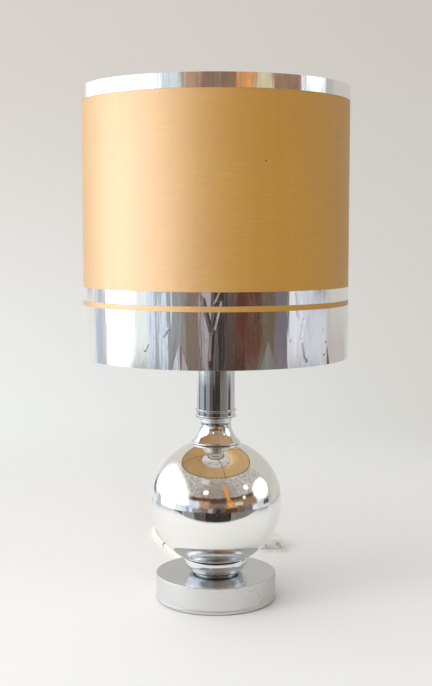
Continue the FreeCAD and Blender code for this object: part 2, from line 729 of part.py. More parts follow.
def switch_slab(bottom, top):
    """The switch's rounded outline between two heights, in its own frame."""
    half, wide, nose = switch_length / 2, switch_width / 2, switch_nose / 2
    taper = half - switch_shoulder
    outline = [(-half, -nose, 2), (-taper, -wide, 9), (taper, -wide, 9), (half, -nose, 2),
               (half, nose, 2), (taper, wide, 9), (-taper, wide, 9), (-half, nose, 2)]
    face = flat(outline, lambda x, y: Vector(x, y, bottom))
    return face.extrude(Vector(0, 0, top - bottom))


def make_switch():
    """Two moulded halves, a rocker on a pin, terminals and screws."""
    place = switch_frame()
    along, across = Vector(1, 0, 0), Vector(0, 1, 0)
    half, sides = switch_length / 2, (-1, 1)
    window_x, window_y = rocker_length / 2 + window_gap[0], rocker_width / 2 + window_gap[1]
    window = Part.makeBox(2 * window_x, 2 * window_y, switch_height,
                          Vector(-window_x, -window_y, window_bottom))
    bores = [Part.makeCylinder(lead_radius + turn_gap, switch_shoulder, Vector(x, 0, switch_axis), along)
             for x in (-half, half - switch_shoulder)]
    places = [side * terminal_offset for side in sides]
    long, wide, high = contact_room
    rooms = [Part.makeBox(long, wide, high, Vector(x - long / 2, -wide / 2, contact_room_bottom))
             for x in places]
    holes = [Part.makeCylinder(screw_radius + 0.1, 6, Vector(x, 0, -1)) for x in places]
    sinks = [Part.makeCylinder(screw_head + slide_gap, 1.4, Vector(x, 0, 0)) for x in places]
    lower = switch_slab(0, switch_axis)
    lower = lower.makeFillet(1.2, [e for e in lower.Edges if e.BoundBox.ZMax < 0.01])
    save_placed("switch_base", lower.cut([window, *bores, *rooms, *holes, *sinks]), place)
    upper = switch_slab(switch_axis, switch_height)
    upper = upper.makeFillet(2.4, [e for e in upper.Edges if e.BoundBox.ZMin > switch_height - 0.01])
    pin_reach = window_y + pin_seat
    pin_hole = Part.makeCylinder(rocker_pin + turn_gap, 2 * pin_reach + 1,
                                 Vector(0, -pin_reach - 0.5, rocker_pivot), across)
    save_placed("switch_cover", upper.cut([window, pin_hole, *bores, *rooms]), place)
    pin = Part.makeCylinder(rocker_pin, 2 * pin_reach, Vector(0, -pin_reach, rocker_pivot), across)
    save_placed("rocker_pin", pin, place)
    end = rocker_length / 2
    crown = switch_height - 0.3
    foot = rocker_pivot - 3.4
    side_face = flat([(-end, rocker_pivot - 1), (-end, crown + rocker_pad, 0.8), (0, crown, 14),
                      (end, crown + rocker_pad, 0.8), (end, rocker_pivot - 1), (3, foot, 1), (-3, foot, 1)],
                     lambda x, z: Vector(x, -rocker_width / 2, z))
    bore = Part.makeCylinder(rocker_pin + turn_gap, rocker_width,
                             Vector(0, -rocker_width / 2, rocker_pivot), across)
    rocker = side_face.extrude(Vector(0, rocker_width, 0)).cut(bore)
    rocker.rotate(Vector(0, 0, rocker_pivot), across, -rocker_tilt)
    save_placed("switch_rocker", rocker, place)
    long, wide, high = contact_block
    blocks = [Part.makeBox(long, wide, high, Vector(x - long / 2, -wide / 2, contact_bottom))
              for x in places]
    save_placed("switch_terminals", Part.makeCompound(blocks), place)
    screws = [Part.makeCylinder(screw_head, 0.9, Vector(x, 0, 0.3)).fuse(
        Part.makeCylinder(screw_radius, 3.2, Vector(x, 0, 1.0))) for x in places]
    save_placed("switch_screws", Part.makeCompound(screws), place)


def make_plug():
    """Flat two-pin plug with a moulded tail; the pins point towards the viewer."""
    start = Vector(*plug_start, plug_height / 2)
    place = FreeCAD.Placement(start, FreeCAD.Rotation(axis_up, plug_heading))
    face = plug_relief + plug_length
    wide, high = plug_width / 2, plug_height / 2
    grip = plug_grip / 2
    taper_end = plug_relief + plug_shoulder
    outline = [(plug_relief, -grip, 3), (taper_end, -wide + 1, 8), (face, -wide, 2),
               (face, wide, 2), (taper_end, wide - 1, 8), (plug_relief, grip, 3)]
    body = flat(outline, lambda x, y: Vector(x, y, -high)).extrude(Vector(0, 0, plug_height))
    long_edges = [e for e in body.Edges if e.BoundBox.ZLength < 0.01 and e.BoundBox.XMax < face - 0.5]
    body = body.makeFillet(2.2, long_edges)
    tail = Part.makeCone(*plug_neck, plug_relief + 1, Vector(), Vector(1, 0, 0))
    save_placed("plug_body", body.fuse(tail).removeSplitter(), place)
    pins = []
    for side in (-1, 1):
        root = Vector(face, side * pin_spacing / 2, 0)
        pin = Part.makeCylinder(pin_radius, pin_length, root, Vector(1, 0, 0))
        tip = [e for e in pin.Edges if e.BoundBox.XMin > face + pin_length - 0.01]
        pins.append(pin.makeFillet(1.0, tip))
    save_placed("plug_pins", Part.makeCompound(pins), place)


os.makedirs("parts", exist_ok=True)
for make in (make_base, make_rod, make_cup, make_globe, make_neck, make_tube, make_holder, make_bulb,
             make_shade_frame, make_shade_skin, make_lead_entry, make_lead, make_switch, make_plug):
    make()
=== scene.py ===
"""Looks of a table lamp: chrome base and stem, mirrored globe, gold drum shade with foil bands.

Outlines are in millimetres, as (radius, height[, corner radius]), and turned about the lamp's axis.
"""

import json
import math

import bmesh
import bpy
from mathutils import Matrix, Vector


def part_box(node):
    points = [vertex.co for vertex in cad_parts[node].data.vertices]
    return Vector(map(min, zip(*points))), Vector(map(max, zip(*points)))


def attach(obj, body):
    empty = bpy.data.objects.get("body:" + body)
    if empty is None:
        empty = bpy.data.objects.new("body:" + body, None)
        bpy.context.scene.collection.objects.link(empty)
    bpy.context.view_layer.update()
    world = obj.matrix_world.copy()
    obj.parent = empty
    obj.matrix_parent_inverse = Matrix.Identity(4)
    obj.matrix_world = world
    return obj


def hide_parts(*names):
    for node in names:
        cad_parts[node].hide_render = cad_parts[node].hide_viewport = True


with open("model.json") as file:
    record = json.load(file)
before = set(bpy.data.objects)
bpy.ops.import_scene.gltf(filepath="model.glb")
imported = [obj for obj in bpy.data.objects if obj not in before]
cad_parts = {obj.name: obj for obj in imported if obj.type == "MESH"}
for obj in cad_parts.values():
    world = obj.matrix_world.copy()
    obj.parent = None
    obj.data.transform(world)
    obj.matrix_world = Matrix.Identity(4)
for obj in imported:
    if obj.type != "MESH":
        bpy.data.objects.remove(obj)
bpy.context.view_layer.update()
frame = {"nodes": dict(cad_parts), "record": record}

bl_info = {
    "name": "Globe table lamp",
    "version": (1, 0, 0),
    "blender": (4, 5, 0),
    "location": "View3D > Sidebar > Lamp",
    "description": "Builds the visible pieces, finishes and studio of a globe table lamp",
    "category": "Add Mesh",
}

MM = 0.001
TURN = 2 * math.pi
DEGREES = 180 / math.pi

# Walls that patterns are laid on, in metres
BASE_WALL = 0.069
SHADE_WALL = 0.15

# The photograph's camera: place in metres, lens and sensor in millimetres
CAMERA_PLACE = (0.0002, -1.33, 0.4269)
CAMERA_PITCH = math.radians(5.56)
CAMERA_LENS = 61.4
SENSOR = 36.0


def span(node):
    """Outer radius, bottom and top of a CAD node about the lamp's axis, in millimetres."""
    low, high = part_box(node)
    return high.x / MM, low.z / MM, high.z / MM


def settings():
    return bpy.context.scene.lamp_sizes


def colours():
    return bpy.context.scene.lamp_colours


def colour_property(name, description, default):
    return bpy.props.FloatVectorProperty(
        name=name, description=description, default=default, subtype="COLOR", size=3,
        min=0.0, max=1.0)


def length_property(name, description, default, low, high):
    return bpy.props.FloatProperty(
        name=name, description=description, default=default, min=low, max=high,
        unit="LENGTH", subtype="DISTANCE")


class LampSizes(bpy.types.PropertyGroup):
    """Sizes that a user may change without touching the frame."""

    steps: bpy.props.IntProperty(
        name="Steps", description="Faces round a turned piece", default=192, min=24, max=512)
    shade_steps: bpy.props.IntProperty(
        name="Shade steps", description="Faces round the shade", default=288, min=48, max=720)
    crease_depth: length_property(
        "Crease depth", "Depth of the creases in the foil", 0.0011, 0.0, 0.01)
    thread_pitch: length_property(
        "Thread pitch", "Rise of the bulb's thread in one turn", 0.003629, 0.001, 0.01)
    lead_thickness: length_property(
        "Lead thickness", "Diameter of the mains lead", 0.0054, 0.003, 0.01)
    lead_length: length_property(
        "Lead length", "Length of the mains lead outside the base", 1.85, 0.5, 3.0)


class LampColours(bpy.types.PropertyGroup):
    """Colours of the lamp's finishes."""

    fabric: colour_property("Fabric", "Gold satin of the shade", (0.56, 0.268, 0.012))
    lining: colour_property("Lining", "Laminated lining of the shade", (0.88, 0.66, 0.38))
    foil: colour_property("Foil", "Mirror foil of the bands", (0.9, 0.9, 0.89))
    chrome: colour_property("Chrome", "Plated metal of base and stem", (0.8, 0.81, 0.82))
    silvering: colour_property("Silvering", "Silvering of the glass globe", (0.93, 0.93, 0.91))
    lead: colour_property("Lead", "Soft sheath of the mains lead", (0.89, 0.865, 0.78))
    resin: colour_property("Resin", "Moulded switch and plug", (0.87, 0.85, 0.8))
    holder: colour_property("Holder", "Moulded lampholder", (0.76, 0.74, 0.68))
    floor: colour_property("Floor", "Table top under the lamp", (0.925, 0.93, 0.925))


# Shader maths


class Value:
    """A shader socket that arithmetic can be written with; each operation adds one Math node."""

    def __init__(self, shader, socket):
        self.shader = shader
        self.socket = socket

    def math(self, operation, *others):
        inputs = dict(enumerate((self, *others)))
        return self.shader.node("ShaderNodeMath", {"operation": operation}, inputs)

    def other(self, name):
        """Another output of the node that this value comes from."""
        return Value(self.shader, self.socket.node.outputs[name])

    def step(self, low, high):
        """0 below low, 1 above high and a smooth rise between."""
        return self.shader.node("ShaderNodeMapRange", {"interpolation_type": "SMOOTHSTEP"},
                                {0: self, 1: low, 2: high})

    def between(self, low, high, soft):
        """1 from low to high with soft borders, and 0 elsewhere."""
        return self.step(low - soft, low + soft) * (1 - self.step(high - soft, high + soft))

    def __add__(self, other):
        return self.math("ADD", other)

    __radd__ = __add__

    def __sub__(self, other):
        return self.math("SUBTRACT", other)

    def __rsub__(self, other):
        return self.shader.node("ShaderNodeMath", {"operation": "SUBTRACT"}, {0: other, 1: self})

    def __mul__(self, other):
        return self.math("MULTIPLY", other)

    __rmul__ = __mul__

    def __truediv__(self, other):
        return self.math("DIVIDE", other)

    def __neg__(self):
        return self * -1.0


class Shader:
    """One node tree, with a method that adds any node and short names for the common ones."""

    def __init__(self, tree, coordinates):
        self.tree = tree
        self.tree.nodes.clear()
        self.place = self.node("ShaderNodeTexCoord", output=coordinates)

    def node(self, kind, options=None, inputs=None, output=0):
        made = self.tree.nodes.new(kind)
        for key, value in (options or {}).items():
            setattr(made, key, value)
        for key, value in (inputs or {}).items():
            if isinstance(value, Value):
                self.tree.links.new(value.socket, made.inputs[key])
            else:
                made.inputs[key].default_value = value
        return Value(self, made.outputs[output]) if len(made.outputs) else made

    def split(self, vector=None):
        parts = self.node("ShaderNodeSeparateXYZ", inputs={0: vector or self.place})
        return parts, parts.other("Y"), parts.other("Z")

    def wall(self, radius):
        """Way along a drum's wall, 0 towards the viewer and growing to the right, and height."""
        x, y, z = self.split()
        return x.math("ARCTAN2", -y) * radius, z

    def noise(self, scale, detail=3.0, roughness=0.55, vector=None):
        """Noise of one scale, or of three that stretch it along the axes."""
        vector = vector or self.place
        if isinstance(scale, tuple):
            vector = self.node("ShaderNodeVectorMath", {"operation": "MULTIPLY"},
                               {0: vector, 1: scale})
            scale = 1.0
        return self.node("ShaderNodeTexNoise", inputs={
            "Vector": vector, "Scale": scale, "Detail": detail, "Roughness": roughness})

    def wall_noise(self, wall, across, up, shift, detail=3.0, roughness=0.55):
        """Noise on a drum's wall, with one scale round the wall and one up it."""
        flat = self.node("ShaderNodeCombineXYZ", inputs={
            0: wall[0] * across, 1: wall[1] * up, 2: shift})
        return self.noise(1.0, detail, roughness, flat)

    def cells(self, scale, options=None, output=0):
        """Distance to the nearest of many scattered points."""
        return self.node("ShaderNodeTexVoronoi", options, {
            "Vector": self.place, "Scale": scale}, output)

    def mix(self, factor, first, second):
        return self.node("ShaderNodeMix", {"data_type": "RGBA"}, {
            0: factor, 6: self.paint(first), 7: self.paint(second)}, output=2)

    @staticmethod
    def paint(colour):
        return colour if isinstance(colour, Value) else (*colour, 1.0)

    def bump(self, height, depth):
        return self.node("ShaderNodeBump", inputs={
            "Strength": 1.0, "Distance": depth, "Height": height})

    def surface(self, base, roughness, height, depth, metallic=0.0, more=None):
        """A bumpy Principled surface on the material's output; more holds further sockets."""
        self.output(self.node("ShaderNodeBsdfPrincipled", inputs={
            "Base Color": self.paint(base), "Roughness": roughness, "Metallic": metallic,
            "Normal": self.bump(height, depth), **(more or {})}))

    def output(self, surface):
        self.node("ShaderNodeOutputMaterial", inputs={"Surface": surface})


def tint(colour, factor):
    return tuple(min(1.0, channel * factor) for channel in colour)


def distance(across, up):
    return (across * across + up * up).math("SQRT")


def spot(across, up, core, edge):
    """1 within the core's radius, 0 beyond the edge's."""
    return 1 - distance(across, up).step(core, edge)


def wave(place, length):
    return (place * (TURN / length)).math("SINE")


def lap_joint(wall, start, end):
    """The doubled strip at a drum's back, on both sides of the furthest point."""
    return wall[0].math("ABSOLUTE").step(start, end)


# Finishes


def polished_chrome(s):
    """Polished plate: faint orange peel, finger smudges and a few dark pin holes."""
    smudge = s.noise(42, 4).step(0.48, 0.78)
    hairline = s.noise((25, 25, 900), 2).step(0.62, 0.8)
    pins = 1 - s.cells(260).step(0.05, 0.11)
    kept = s.noise(18, 2).step(0.56, 0.66)
    base = s.mix(pins * kept * 0.8, colours().chrome, (0.2, 0.18, 0.16))
    peel = s.noise(70, 2)
    s.surface(base, 0.045 + smudge * 0.05 + hairline * 0.03 + pins * kept * 0.3,
              peel, 0.00003, 1.0)


def satin_chrome(s):
    """The drum: satin side that is pitted to the right and darkened there as painted shade,
    brighter polish on its flat top.
    """
    x, y, _ = s.split()
    wall = along, height = s.wall(BASE_WALL)
    side = distance(x, y).step(BASE_WALL - 0.0015, BASE_WALL)
    # mask of the side's right part: it thickens the real pits there, and darkens the colour as
    # painted shade
    worn = along.step(0.01, 0.06) * (1 - along.step(0.13, 0.215)) * side
    fine = s.noise(900)
    specks = s.noise(420, 4, 0.7)
    pits = specks.step(0.56, 0.66) * (0.12 + worn * 0.88) * side
    scuffs = s.wall_noise(wall, 360, 84, 1.8, 4).step(0.55, 0.75)
    cloud = s.noise(30)
    foot = 1 - height.step(0.0035, 0.0062)
    base = s.mix(side, (0.62, 0.65, 0.685), tint(colours().chrome, 0.97))
    # painted shade: the right part of the side darker, where it mirrors the shadowed table
    base = s.mix(worn * 0.62, base, (0.52, 0.5, 0.46))
    base = s.mix(pits * 0.65, base, (0.28, 0.265, 0.24))
    base = s.mix(foot * 0.25 * side, base, (0.45, 0.45, 0.44))
    rough = 0.13 + side * 0.17 + scuffs * side * 0.06 + pits * 0.18 + cloud * 0.05
    s.surface(base, rough, fine * 0.25 - pits, 0.00006, 1.0)


def mirrored_glass(s):
    """Silver behind smooth glass: slightly warm, with tiny worn specks and faint waves."""
    x, _, z = s.split()
    specks = 1 - s.cells(420).step(0.07, 0.14)
    patch = s.noise(24).step(0.58, 0.7)
    band = z.between(0.084, 0.108, 0.012) * x.step(0.03, 0.06)
    worn = specks * (patch * 0.45 + band * 0.8).math("MINIMUM", 1.0)
    warm = s.noise(9, 2)
    base = s.mix(warm * 0.5, colours().silvering, tint(colours().silvering, 0.96))
    base = s.mix(worn * 0.75, base, (0.32, 0.26, 0.19))
    waves = s.noise(26, 2)
    s.surface(base, 0.018 + worn * 0.3, waves, 0.00016, 1.0, {
        "Coat Weight": 1.0, "Coat Roughness": 0.01})


# Folds in the foil, in metres: (place round the drum, height, lean, half width, half length,
# depth as a share)
CREASES = [
    (-0.0090, 0.340, -0.25, 0.0026, 0.022, 0.9),
    (0.0015, 0.341, 0.24, 0.0024, 0.019, -0.8),
    (-0.0045, 0.307, 0.05, 0.0030, 0.022, 0.8),
    (0.0030, 0.359, 0.45, 0.0022, 0.009, 0.9),
    (0.0892, 0.350, -0.12, 0.0026, 0.018, 0.5),
    (0.0960, 0.323, 0.22, 0.0024, 0.015, -0.45),
    (0.0995, 0.302, -0.20, 0.0030, 0.014, 0.5),
    (0.1330, 0.301, 0.25, 0.0034, 0.009, 0.7),
    (-0.0742, 0.306, 0.50, 0.0018, 0.005, 0.3),
    (-0.0513, 0.322, 0.60, 0.0016, 0.006, 0.2),
    (-0.1690, 0.318, -0.20, 0.0026, 0.009, 0.6),
    (0.2050, 0.318, -0.20, 0.0034, 0.020, -0.8),
    (-0.3000, 0.325, -0.40, 0.0026, 0.016, 0.7),
]
# Pleats that open towards the foil's lower edge: (place, height of the tip, half width at the foot,
# depth as a share)
FOIL_EDGE = 0.288
PLEATS = [
    (-0.0370, 0.3130, 0.0074, 3.2),
    (0.0550, 0.3130, 0.0074, -2.8),
    (0.1360, 0.3080, 0.0045, -1.6),
    (0.3300, 0.3140, 0.0060, 1.8),
    (-0.2200, 0.3100, 0.0050, -1.6),
]


def crease_height(wall):
    """Sharp folds and pleats where the foil was bent, as one height map."""
    along, height = wall
    total = 0.0
    for place, level, lean, width, reach, depth in CREASES:
        rise = height - level
        off = ((along - place - rise * lean) / width).math("ABSOLUTE")
        fold = (1 - off).math("MAXIMUM", 0.0)
        total = total + fold * (1 - rise.math("ABSOLUTE").step(reach * 0.55, reach)) * depth
    for place, tip, width, depth in PLEATS:
        opening = ((tip - height) / (tip - FOIL_EDGE)).math("MAXIMUM", 0.0)
        fold = opening - ((along - place) / width).math("ABSOLUTE")
        total = total + fold.math("MAXIMUM", 0.0) * depth
    return total


def mirror_foil(s):
    """Mirror foil glued round the drum: upright ripples, sharp creases, a lap joint at the back."""
    wall = s.wall(SHADE_WALL)
    wide = s.wall_noise(wall, 30, 5, 0, 2)
    fine = s.wall_noise(wall, 120, 10, 0.7)
    tiny = s.wall_noise(wall, 420, 60, 0.2, 2)
    lap = lap_joint(wall, 0.4655, 0.4662)
    ripple = wide * 0.9 + fine * 0.24 + tiny * 0.02
    relief = ripple + crease_height(wall) * 0.3 + lap * 0.3
    dust = s.noise(160, 4).step(0.6, 0.75)
    haze = s.wall_noise(wall, 14, 3, 0.4, 2)
    base = s.mix(dust * 0.25, colours().foil, (0.62, 0.6, 0.56))
    s.surface(base, 0.055 + haze * 0.05 + dust * 0.1, relief, settings().crease_depth, 1.0)


def gold_fabric(s):
    """Gold satin: fine crosswise threads, slubs, soft upright streaks and a few specks."""
    wall = along, height = s.wall(SHADE_WALL)
    threads = wave(height, 0.00052)
    warp = wave(along, 0.00034)
    slub = s.wall_noise(wall, 28, 900, 0, 3, 0.6)
    streak = s.wall_noise(wall, 110, 3.5, 0.5, 3, 0.6)
    cloud = s.wall_noise(wall, 9, 9, 0.9, 2)
    grain = s.wall_noise(wall, 1500, 1500, 0, 1)
    nap = s.wall_noise(wall, 620, 760, 0.3, 3, 0.7)
    gold = colours().fabric
    base = s.mix(slub.step(0.35, 0.7), tint(gold, 0.93), tint(gold, 1.06))
    pale = (gold[0] * 1.1, gold[1] * 1.17, gold[2] * 1.3)
    base = s.mix(streak.step(0.4, 0.66) * 0.28, base, pale)
    base = s.mix(cloud.step(0.42, 0.62) * 0.5, base, tint(gold, 0.93))
    base = s.mix(grain.step(0.52, 0.7) * 0.3, base, tint(gold, 0.74))
    base = s.mix(nap.step(0.42, 0.66) * 0.3, base, tint(gold, 0.72))
    speck = spot(along - 0.0518, (height - 0.4953) * math.sqrt(2.5), 0.0008, 0.0014)
    second = spot(along - 0.078, height - 0.4185, 0.0003, 0.0007)
    base = s.mix(speck.math("MAXIMUM", second * 0.7), base, (0.03, 0.02, 0.01))
    lap = lap_joint(wall, 0.4648, 0.4658)
    relief = threads * 0.35 + warp * 0.18 + slub * 0.6 + grain * 0.3 + nap * 0.8 + lap * 3.0
    s.surface(base, 0.52 + grain * 0.06, relief, 0.00006, more={
        "IOR": 1.42, "Coat Weight": 0.93 + streak * 0.05, "Coat Roughness": 0.58, "Coat IOR": 1.75})


def shade_lining(s):
    """Laminated lining: ochre, even, with faint blotches and the lap joint."""
    wall = s.wall(SHADE_WALL - 0.001)
    ochre = colours().lining
    blotch = s.noise(20, 4)
    fibres = s.wall_noise(wall, 300, 300, 0, 3, 0.7)
    lap = lap_joint(wall, 0.46, 0.461)
    base = s.mix(blotch.step(0.35, 0.7), tint(ochre, 0.94), tint(ochre, 1.04))
    base = s.mix(fibres.step(0.55, 0.75) * 0.25, base, tint(ochre, 1.25))
    base = s.mix(lap * 0.18, base, tint(ochre, 0.6))
    s.surface(base, 0.55 + fibres * 0.15, fibres + lap * 2.0, 0.00006)


def frame_wire(s):
    """Dull grey wire with draw marks and a little rust at the welds."""
    mark = s.noise((60, 60, 500))
    rust = s.noise(70, 4).step(0.6, 0.74)
    base = s.mix(mark, (0.16, 0.155, 0.15), (0.3, 0.29, 0.28))
    base = s.mix(rust * 0.7, base, (0.13, 0.055, 0.025))
    s.surface(base, 0.36 + mark * 0.15 + rust * 0.3, mark + rust, 0.00005, 0.9 - rust * 0.8)


def zinc_steel(s):
    """Zinc plated steel with spangle and turned marks."""
    x, y, _ = s.split()
    spangle = s.cells(260, output="Color")
    grain = s.noise(700)
    rings = wave(distance(x, y), 0.0006)
    tone = s.split(spangle)[0]
    base = s.mix(tone, (0.46, 0.46, 0.45), (0.62, 0.62, 0.6))
    s.surface(base, 0.28 + grain * 0.16, rings * 0.4 + grain, 0.00003, 1.0)


def cast_iron(s):
    """Rough black casting."""
    grit = s.noise(350, 5, 0.7)
    rust = s.noise(45, 4).step(0.58, 0.72)
    base = s.mix(grit, (0.035, 0.034, 0.033), (0.085, 0.082, 0.078))
    base = s.mix(rust * 0.6, base, (0.12, 0.05, 0.025))
    s.surface(base, 0.62 + grit * 0.25, grit, 0.0005, 0.35)


def felt(s):
    """Black felt with loose fibres."""
    fibres = s.noise((900, 500, 900), 5, 0.75)
    lint = s.noise(1300, 2).step(0.68, 0.76)
    base = s.mix(fibres, (0.012, 0.012, 0.013), (0.05, 0.05, 0.052))
    base = s.mix(lint * 0.5, base, (0.22, 0.21, 0.2))
    s.surface(base, 0.95, fibres, 0.0004, more={"Sheen Weight": 0.4})


def rubber(s):
    """Black rubber with a dusty bloom."""
    bloom = s.noise(60, 4)
    grain = s.noise(900)
    base = s.mix(bloom.step(0.45, 0.75), (0.018, 0.018, 0.018), (0.055, 0.054, 0.052))
    s.surface(base, 0.55 + grain * 0.2, grain, 0.00008)


def lead_sheath(s):
    """Pale cream sheath of the lead: slightly yellowed, a little soiled, faintly glossy, with one
    painted shadow spot.
    """
    soil = s.noise(38, 5, 0.6)
    grain = s.noise(1200, 2)
    shade = s.noise(9, 2)
    cream = colours().lead
    base = s.mix(shade.step(0.35, 0.65), cream, tint(cream, 1.12))
    base = s.mix(soil.step(0.55, 0.75) * 0.35, base, tint(cream, 0.75))
    x, y, _ = s.split()
    # painted shadow: a dark spot where the lead passes close behind the globe
    mark = spot(x + 0.069, y - 0.215, 0.0025, 0.0045)
    base = s.mix(mark * 0.85, base, (0.16, 0.12, 0.08))
    s.surface(base, 0.38 + soil * 0.15, grain + soil, 0.00005, more={"Specular IOR Level": 0.45})


def moulded(s, colour, grain_depth):
    """Moulded resin with a fine spark grain and rubbed, shinier places."""
    grain = s.noise(1600, 2)
    rubbed = s.noise(55).step(0.5, 0.72)
    dust = s.noise(400, 4, 0.7).step(0.62, 0.74)
    base = s.mix(rubbed * 0.4, colour, tint(colour, 1.07))
    base = s.mix(dust * 0.25, base, (0.42, 0.38, 0.32))
    s.surface(base, 0.34 - rubbed * 0.12 + dust * 0.25, grain, grain_depth)


def ivory_resin(s):
    """Ivory switch and plug."""
    moulded(s, colours().resin, 0.00005)


def holder_resin(s):
    """White lampholder and shade rings."""
    moulded(s, colours().holder, 0.00008)


def porcelain(s):
    """Glazed white ceramic with tiny pin holes."""
    cloud = s.noise(60)
    pins = 1 - s.cells(300).step(0.04, 0.09)
    base = s.mix(cloud, (0.74, 0.72, 0.66), (0.82, 0.8, 0.75))
    base = s.mix(pins * 0.6, base, (0.25, 0.2, 0.15))
    s.surface(base, 0.16 + pins * 0.3, cloud - pins, 0.00008)


def contact_brass(s):
    """Bare brass, slightly tarnished."""
    tarnish = s.noise(90, 5, 0.6)
    grain = s.noise((300, 900, 300), 2)
    base = s.mix(tarnish.step(0.42, 0.7), (0.72, 0.5, 0.2), (0.38, 0.24, 0.09))
    s.surface(base, 0.2 + tarnish * 0.25 + grain * 0.05, grain, 0.00002, 1.0)


def bulb_glass(s):
    """Clear bulb glass, seen mostly by its edges and its reflections."""
    edge = s.node("ShaderNodeLayerWeight", inputs={"Blend": 0.35}, output="Facing")
    smear = s.noise(50)
    alpha = 0.1 + edge * edge * 0.55 + smear.step(0.55, 0.8) * 0.05
    s.surface((0.93, 0.95, 0.94), 0.03 + smear * 0.05, smear, 0.00005, more={
        "Alpha": alpha, "Specular IOR Level": 0.8})


def bulb_cap_metal(s):
    """The bulb's cap: rolled bright metal with scratches from the holder."""
    scratch = s.noise((900, 900, 60))
    base = s.mix(scratch, (0.6, 0.6, 0.58), (0.78, 0.78, 0.76))
    s.surface(base, 0.22 + scratch * 0.18, scratch, 0.00003, 1.0)


def black_glass(s):
    """Black glass insulator under the bulb's cap."""
    wave = s.noise(300, 2)
    base = s.mix(wave, (0.01, 0.01, 0.012), (0.028, 0.027, 0.03))
    s.surface(base, 0.08 + wave * 0.08, wave, 0.0001)


def filament_wire(s):
    """Drawn grey wire of the filament."""
    mark = s.noise(1500, 2)
    base = s.mix(mark, (0.12, 0.12, 0.125), (0.26, 0.26, 0.27))
    s.surface(base, 0.4 + mark * 0.2, mark, 0.00003, 0.9)


# By name, which is also that of the record's material slot
FINISHES = {paint.__name__: paint for paint in (
    polished_chrome, satin_chrome, mirrored_glass, mirror_foil, gold_fabric, shade_lining,
    frame_wire, zinc_steel, cast_iron, felt, rubber, lead_sheath, ivory_resin, holder_resin,
    porcelain, contact_brass, bulb_glass, bulb_cap_metal, black_glass, filament_wire)}


def painted(data, paint, coordinates="Object"):
    """The material or world with the nodes that a finish gives it."""
    data.use_nodes = True
    paint(Shader(data.node_tree, coordinates))
    return data


def finish(name):
    """The material of that name, made on first use."""
    title = "lamp_" + name
    known = bpy.data.materials.get(title)
    return known or painted(bpy.data.materials.new(title), FINISHES[name])


# Shapes

WELD = 2e-6  # points nearer than this are made one, in metres
THREAD_STEPS = 64  # faces round a thread
SHARP = 32.0  # edges that turn by more degrees stay sharp
ROD_HOLE = 5.2  # radius of the hole for the threaded rod, in millimetres
BASE_SHEET = 1.2  # thickness of the drum's sheet, in millimetres


def corner_reach(points, index, radius):
    """How far from an outline's corner a rounding of that radius begins."""
    here = Vector(points[index][:2])
    back = (Vector(points[index - 1][:2]) - here).normalized()
    ahead = (Vector(points[(index + 1) % len(points)][:2]) - here).normalized()
    return radius / math.tan(back.angle(ahead) / 2)


def profile(outline):
    """A bmesh with the closed outline as edges, its corners rounded."""
    bm = bmesh.new()
    verts = [bm.verts.new(Vector((p[0], 0, p[1])) * MM) for p in outline]
    for start, end in zip(verts, verts[1:] + verts[:1]):
        bm.edges.new((start, end))
    for index, point in enumerate(outline):
        if len(point) < 3 or point[2] <= 0:
            continue
        # a hair short, so that two roundings on one edge never meet
        reach = corner_reach(outline, index, point[2]) * MM * 0.999
        steps = max(2, min(24, round(3 + point[2] * 1.2)))
        bmesh.ops.bevel(bm, geom=[verts[index]], offset=reach, offset_type="OFFSET",
                        segments=steps, profile=0.5, affect="VERTICES", material=-1)
    return bm


def ring(inner, outer, low, high, rounding):
    """The outline of a plain ring, rounded on its outside."""
    return [(inner, low), (outer, low, rounding), (outer, high, rounding), (inner, high)]


def spun(bm, steps):
    """Turns the outline a full turn and closes its poles."""
    bmesh.ops.spin(bm, geom=bm.verts[:] + bm.edges[:], cent=(0, 0, 0), axis=(0, 0, 1),
                   dvec=(0, 0, 0), angle=TURN, steps=steps, use_merge=True, use_duplicate=False)
    bmesh.ops.remove_doubles(bm, verts=bm.verts[:], dist=WELD)
    bmesh.ops.dissolve_degenerate(bm, dist=WELD / 20, edges=bm.edges[:])
    bmesh.ops.recalc_face_normals(bm, faces=bm.faces[:])


def shade_smooth(bm, sharp):
    """Smooth faces with sharp edges where the surface turns by more than an angle."""
    for face in bm.faces:
        face.smooth = True
    limit = math.radians(sharp)
    for edge in bm.edges:
        edge.smooth = len(edge.link_faces) != 2 or edge.calc_face_angle(0.0) < limit


def placed(name, data):
    """An object for that mesh, curve, lamp or camera, in the scene."""
    made = bpy.data.objects.new(name, data)
    bpy.context.scene.collection.objects.link(made)
    return made


def meshed(name, bm):
    """An object for that bmesh, which is freed."""
    made = placed(name, bpy.data.meshes.new(name))
    bm.to_mesh(made.data)
    bm.free()
    return made


def piece(name, bm, node, material, body="root", sharp=SHARP):
    """Turns a bmesh into an object of the lamp that rides on a body and stands for a CAD node."""
    shade_smooth(bm, sharp)
    made = meshed(name, bm)
    made.data.materials.append(finish(material))
    level = made.modifiers.new("flat_walls", "WEIGHTED_NORMAL")
    level.keep_sharp = True
    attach(made, body)
    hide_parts(node)


def turned(name, outline, node, material="polished_chrome", body="root", steps=None):
    """A piece turned about the lamp's axis."""
    bm = profile(outline)
    spun(bm, steps or settings().steps)
    piece(name, bm, node, material, body)


